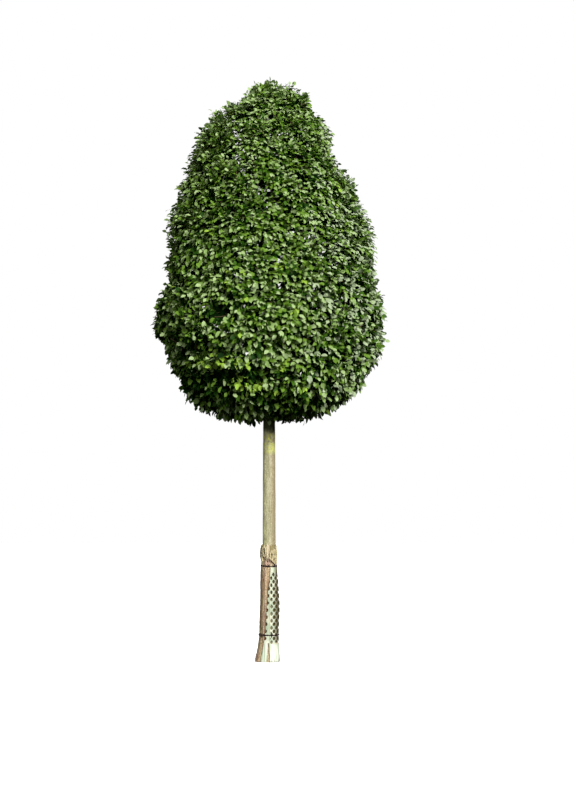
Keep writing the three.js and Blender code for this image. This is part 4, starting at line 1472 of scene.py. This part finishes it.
def tie_loop(height, stand_off, wave, spread=0.0):
    """A loop round the foot. spread parts it from its neighbours where it lies on the bare sacking."""
    directions = np.linspace(0, 360, LOOP_POINTS)
    levels = height + wave * np.sin(np.radians(2 * directions + LOOP_TILT_TURN))
    aside = turn_between(SPREAD_TURN, directions) / SPREAD_WIDE
    levels = levels + spread * np.exp(-aside * aside)
    return around(directions, wrap_radius(height, directions) + stand_off, levels)


lower_tie = bmesh.new()
for spread in LOOP_SPREADS:
    loop = tie_loop(LOWER_TIE_HEIGHT + LOOP_STEP * spread, LOWER_STAND_OFF, LOWER_WAVE, spread)
    twisted_wire(lower_tie, loop, LOWER_TWISTS, closed=True)
knot_radius = float(wrap_radius(LOWER_TIE_HEIGHT, KNOT_TURN)) + LOWER_STAND_OFF
share = np.linspace(0, 1, 9)
for turn, out, up in KNOT_ENDS:
    radius = knot_radius + out * share + KNOT_END_CURL * np.sin(math.pi * share)
    end = around(KNOT_TURN + turn * share, radius, LOWER_TIE_HEIGHT + up * share)
    add_wire(lower_tie, end, KNOT_END_RADIUS)
coil = np.linspace(0, KNOT_COILS * 360, 36)
coil_height = np.linspace(-KNOT_HALF_HEIGHT, KNOT_HALF_HEIGHT, 36)
knot_centre = around(KNOT_TURN, knot_radius + KNOT_OUT, LOWER_TIE_HEIGHT)
add_wire(lower_tie, knot_centre + around(coil, KNOT_COIL_RADIUS, coil_height))
finish_shape("lower_tie_wire", lower_tie, [TIE_WIRE], ["lower_tie"])

upper_tie = bmesh.new()
for offset, wave in UPPER_LOOPS:
    loop = tie_loop(UPPER_TIE_HEIGHT + offset, UPPER_STAND_OFF, wave)
    twisted_wire(upper_tie, loop, UPPER_TWISTS, closed=True)
share = np.linspace(0, 1, 30)
height = UPPER_TIE_HEIGHT + LOOSE_END_RISE * share
turn = LOOSE_END_FROM + (LOOSE_END_TO - LOOSE_END_FROM) * share
slack = LOOSE_END_SLACK * np.sin(math.pi * share * 0.7)
radius = wrap_radius(height, turn) + LOOSE_END_OUT + slack
twisted_wire(upper_tie, around(turn, radius, height), LOOSE_END_TWISTS)
finish_shape("upper_tie_wire", upper_tie, [TIE_WIRE], ["upper_tie"])


# Studio: a pale floor, a soft sun from the front right with two weaker ones, and an even pale sky
FLOOR_RADIUS = 60
FLOOR_GLOW = 0.85
SKY_TINT = (250.5, 252.7, 255)
SKY_LIGHT = 0.23
SKY_LIGHT_BELOW = 0.03
SKY_EASE_FROM = -0.35
SKY_EASE_TO = 0.6
SUN_COLOUR = (1, 0.985, 0.95)
# Name, strength, softness, direction and rise
SUNS = [
    ("soft_sun", 5.75, 24, 300, 28),
    ("soft_fill", 0.85, 60, 222, 14),
    ("soft_back", 1.1, 60, 80, 32),
]


def make_floor():
    finish = Finish("pale_floor", (236, 236, 236), 0.9, 0.1)
    finish.coat(finish.spots((0.6, 0.6, 0.6), detail=2), 0.3, 0.7, 1, (240, 240, 240))
    finish.shade({"Emission Color": (255, 255, 255), "Emission Strength": FLOOR_GLOW})
    shape = bmesh.new()
    bmesh.ops.create_circle(shape, cap_ends=True, segments=96, radius=FLOOR_RADIUS)
    floor = add_object("floor", mesh_of("floor", shape))
    floor.data.materials.append(finish.done())
    floor.visible_diffuse = False
    floor.visible_glossy = False


def make_sky():
    """A pale light that is weaker from below, with plain white behind the tree."""
    world = bpy.data.worlds.new("pale_sky")
    bpy.context.scene.world = world
    world.use_nodes = True
    tree = world.node_tree
    tree.nodes.clear()
    place = add_node(tree, "TexCoord", {}, "Generated")
    height = add_node(tree, "SeparateXYZ", {"Vector": place}, "Z")
    ends = {"From Min": SKY_EASE_FROM, "From Max": SKY_EASE_TO}
    ends |= {"To Min": SKY_LIGHT_BELOW, "To Max": SKY_LIGHT}
    strength = add_node(tree, "MapRange", {"Value": height, **ends})
    light = add_node(tree, "Background", {"Color": SKY_TINT, "Strength": strength})
    backdrop = add_node(tree, "Background", {"Color": (255, 255, 255)})
    seen = add_node(tree, "LightPath", {}, "Is Camera Ray")
    surface = add_node(tree, "MixShader", {0: seen, 1: light, 2: backdrop})
    output = tree.nodes.new("ShaderNodeOutputWorld")
    tree.links.new(surface, output.inputs["Surface"])


def make_sun(name, strength, softness, turn, rise):
    lamp = bpy.data.lights.new(name, "SUN")
    lamp.energy = strength
    lamp.angle = math.radians(softness)
    lamp.color = SUN_COLOUR
    rise = math.radians(rise)
    towards = Vector(around(turn, math.cos(rise), math.sin(rise)))
    add_object(name, lamp).rotation_euler = towards.to_track_quat("Z", "Y").to_euler()


# Camera: the photograph shows 8 m from top to bottom at the tree, and the tree's foot left of its middle
CAMERA_DISTANCE = 22.0
CAMERA_HEIGHT = 1.6
CAMERA_ASIDE = 0.185
VIEW_MIDDLE = 2.6
VIEW_SPAN = 7.97
SENSOR = 36.0


def make_camera():
    data = bpy.data.cameras.new("camera")
    data.sensor_fit = "VERTICAL"
    data.sensor_height = SENSOR
    data.lens = SENSOR * CAMERA_DISTANCE / VIEW_SPAN
    camera = add_object("camera", data)
    camera.location = (CAMERA_ASIDE, -CAMERA_DISTANCE, CAMERA_HEIGHT)
    view = Vector((CAMERA_ASIDE, 0, VIEW_MIDDLE)) - camera.location
    camera.rotation_euler = view.to_track_quat("-Z", "Y").to_euler()
    bpy.context.scene.camera = camera


make_floor()
make_sky()
for sun in SUNS:
    make_sun(*sun)
make_camera()
bpy.context.scene.view_settings.view_transform = "Standard"
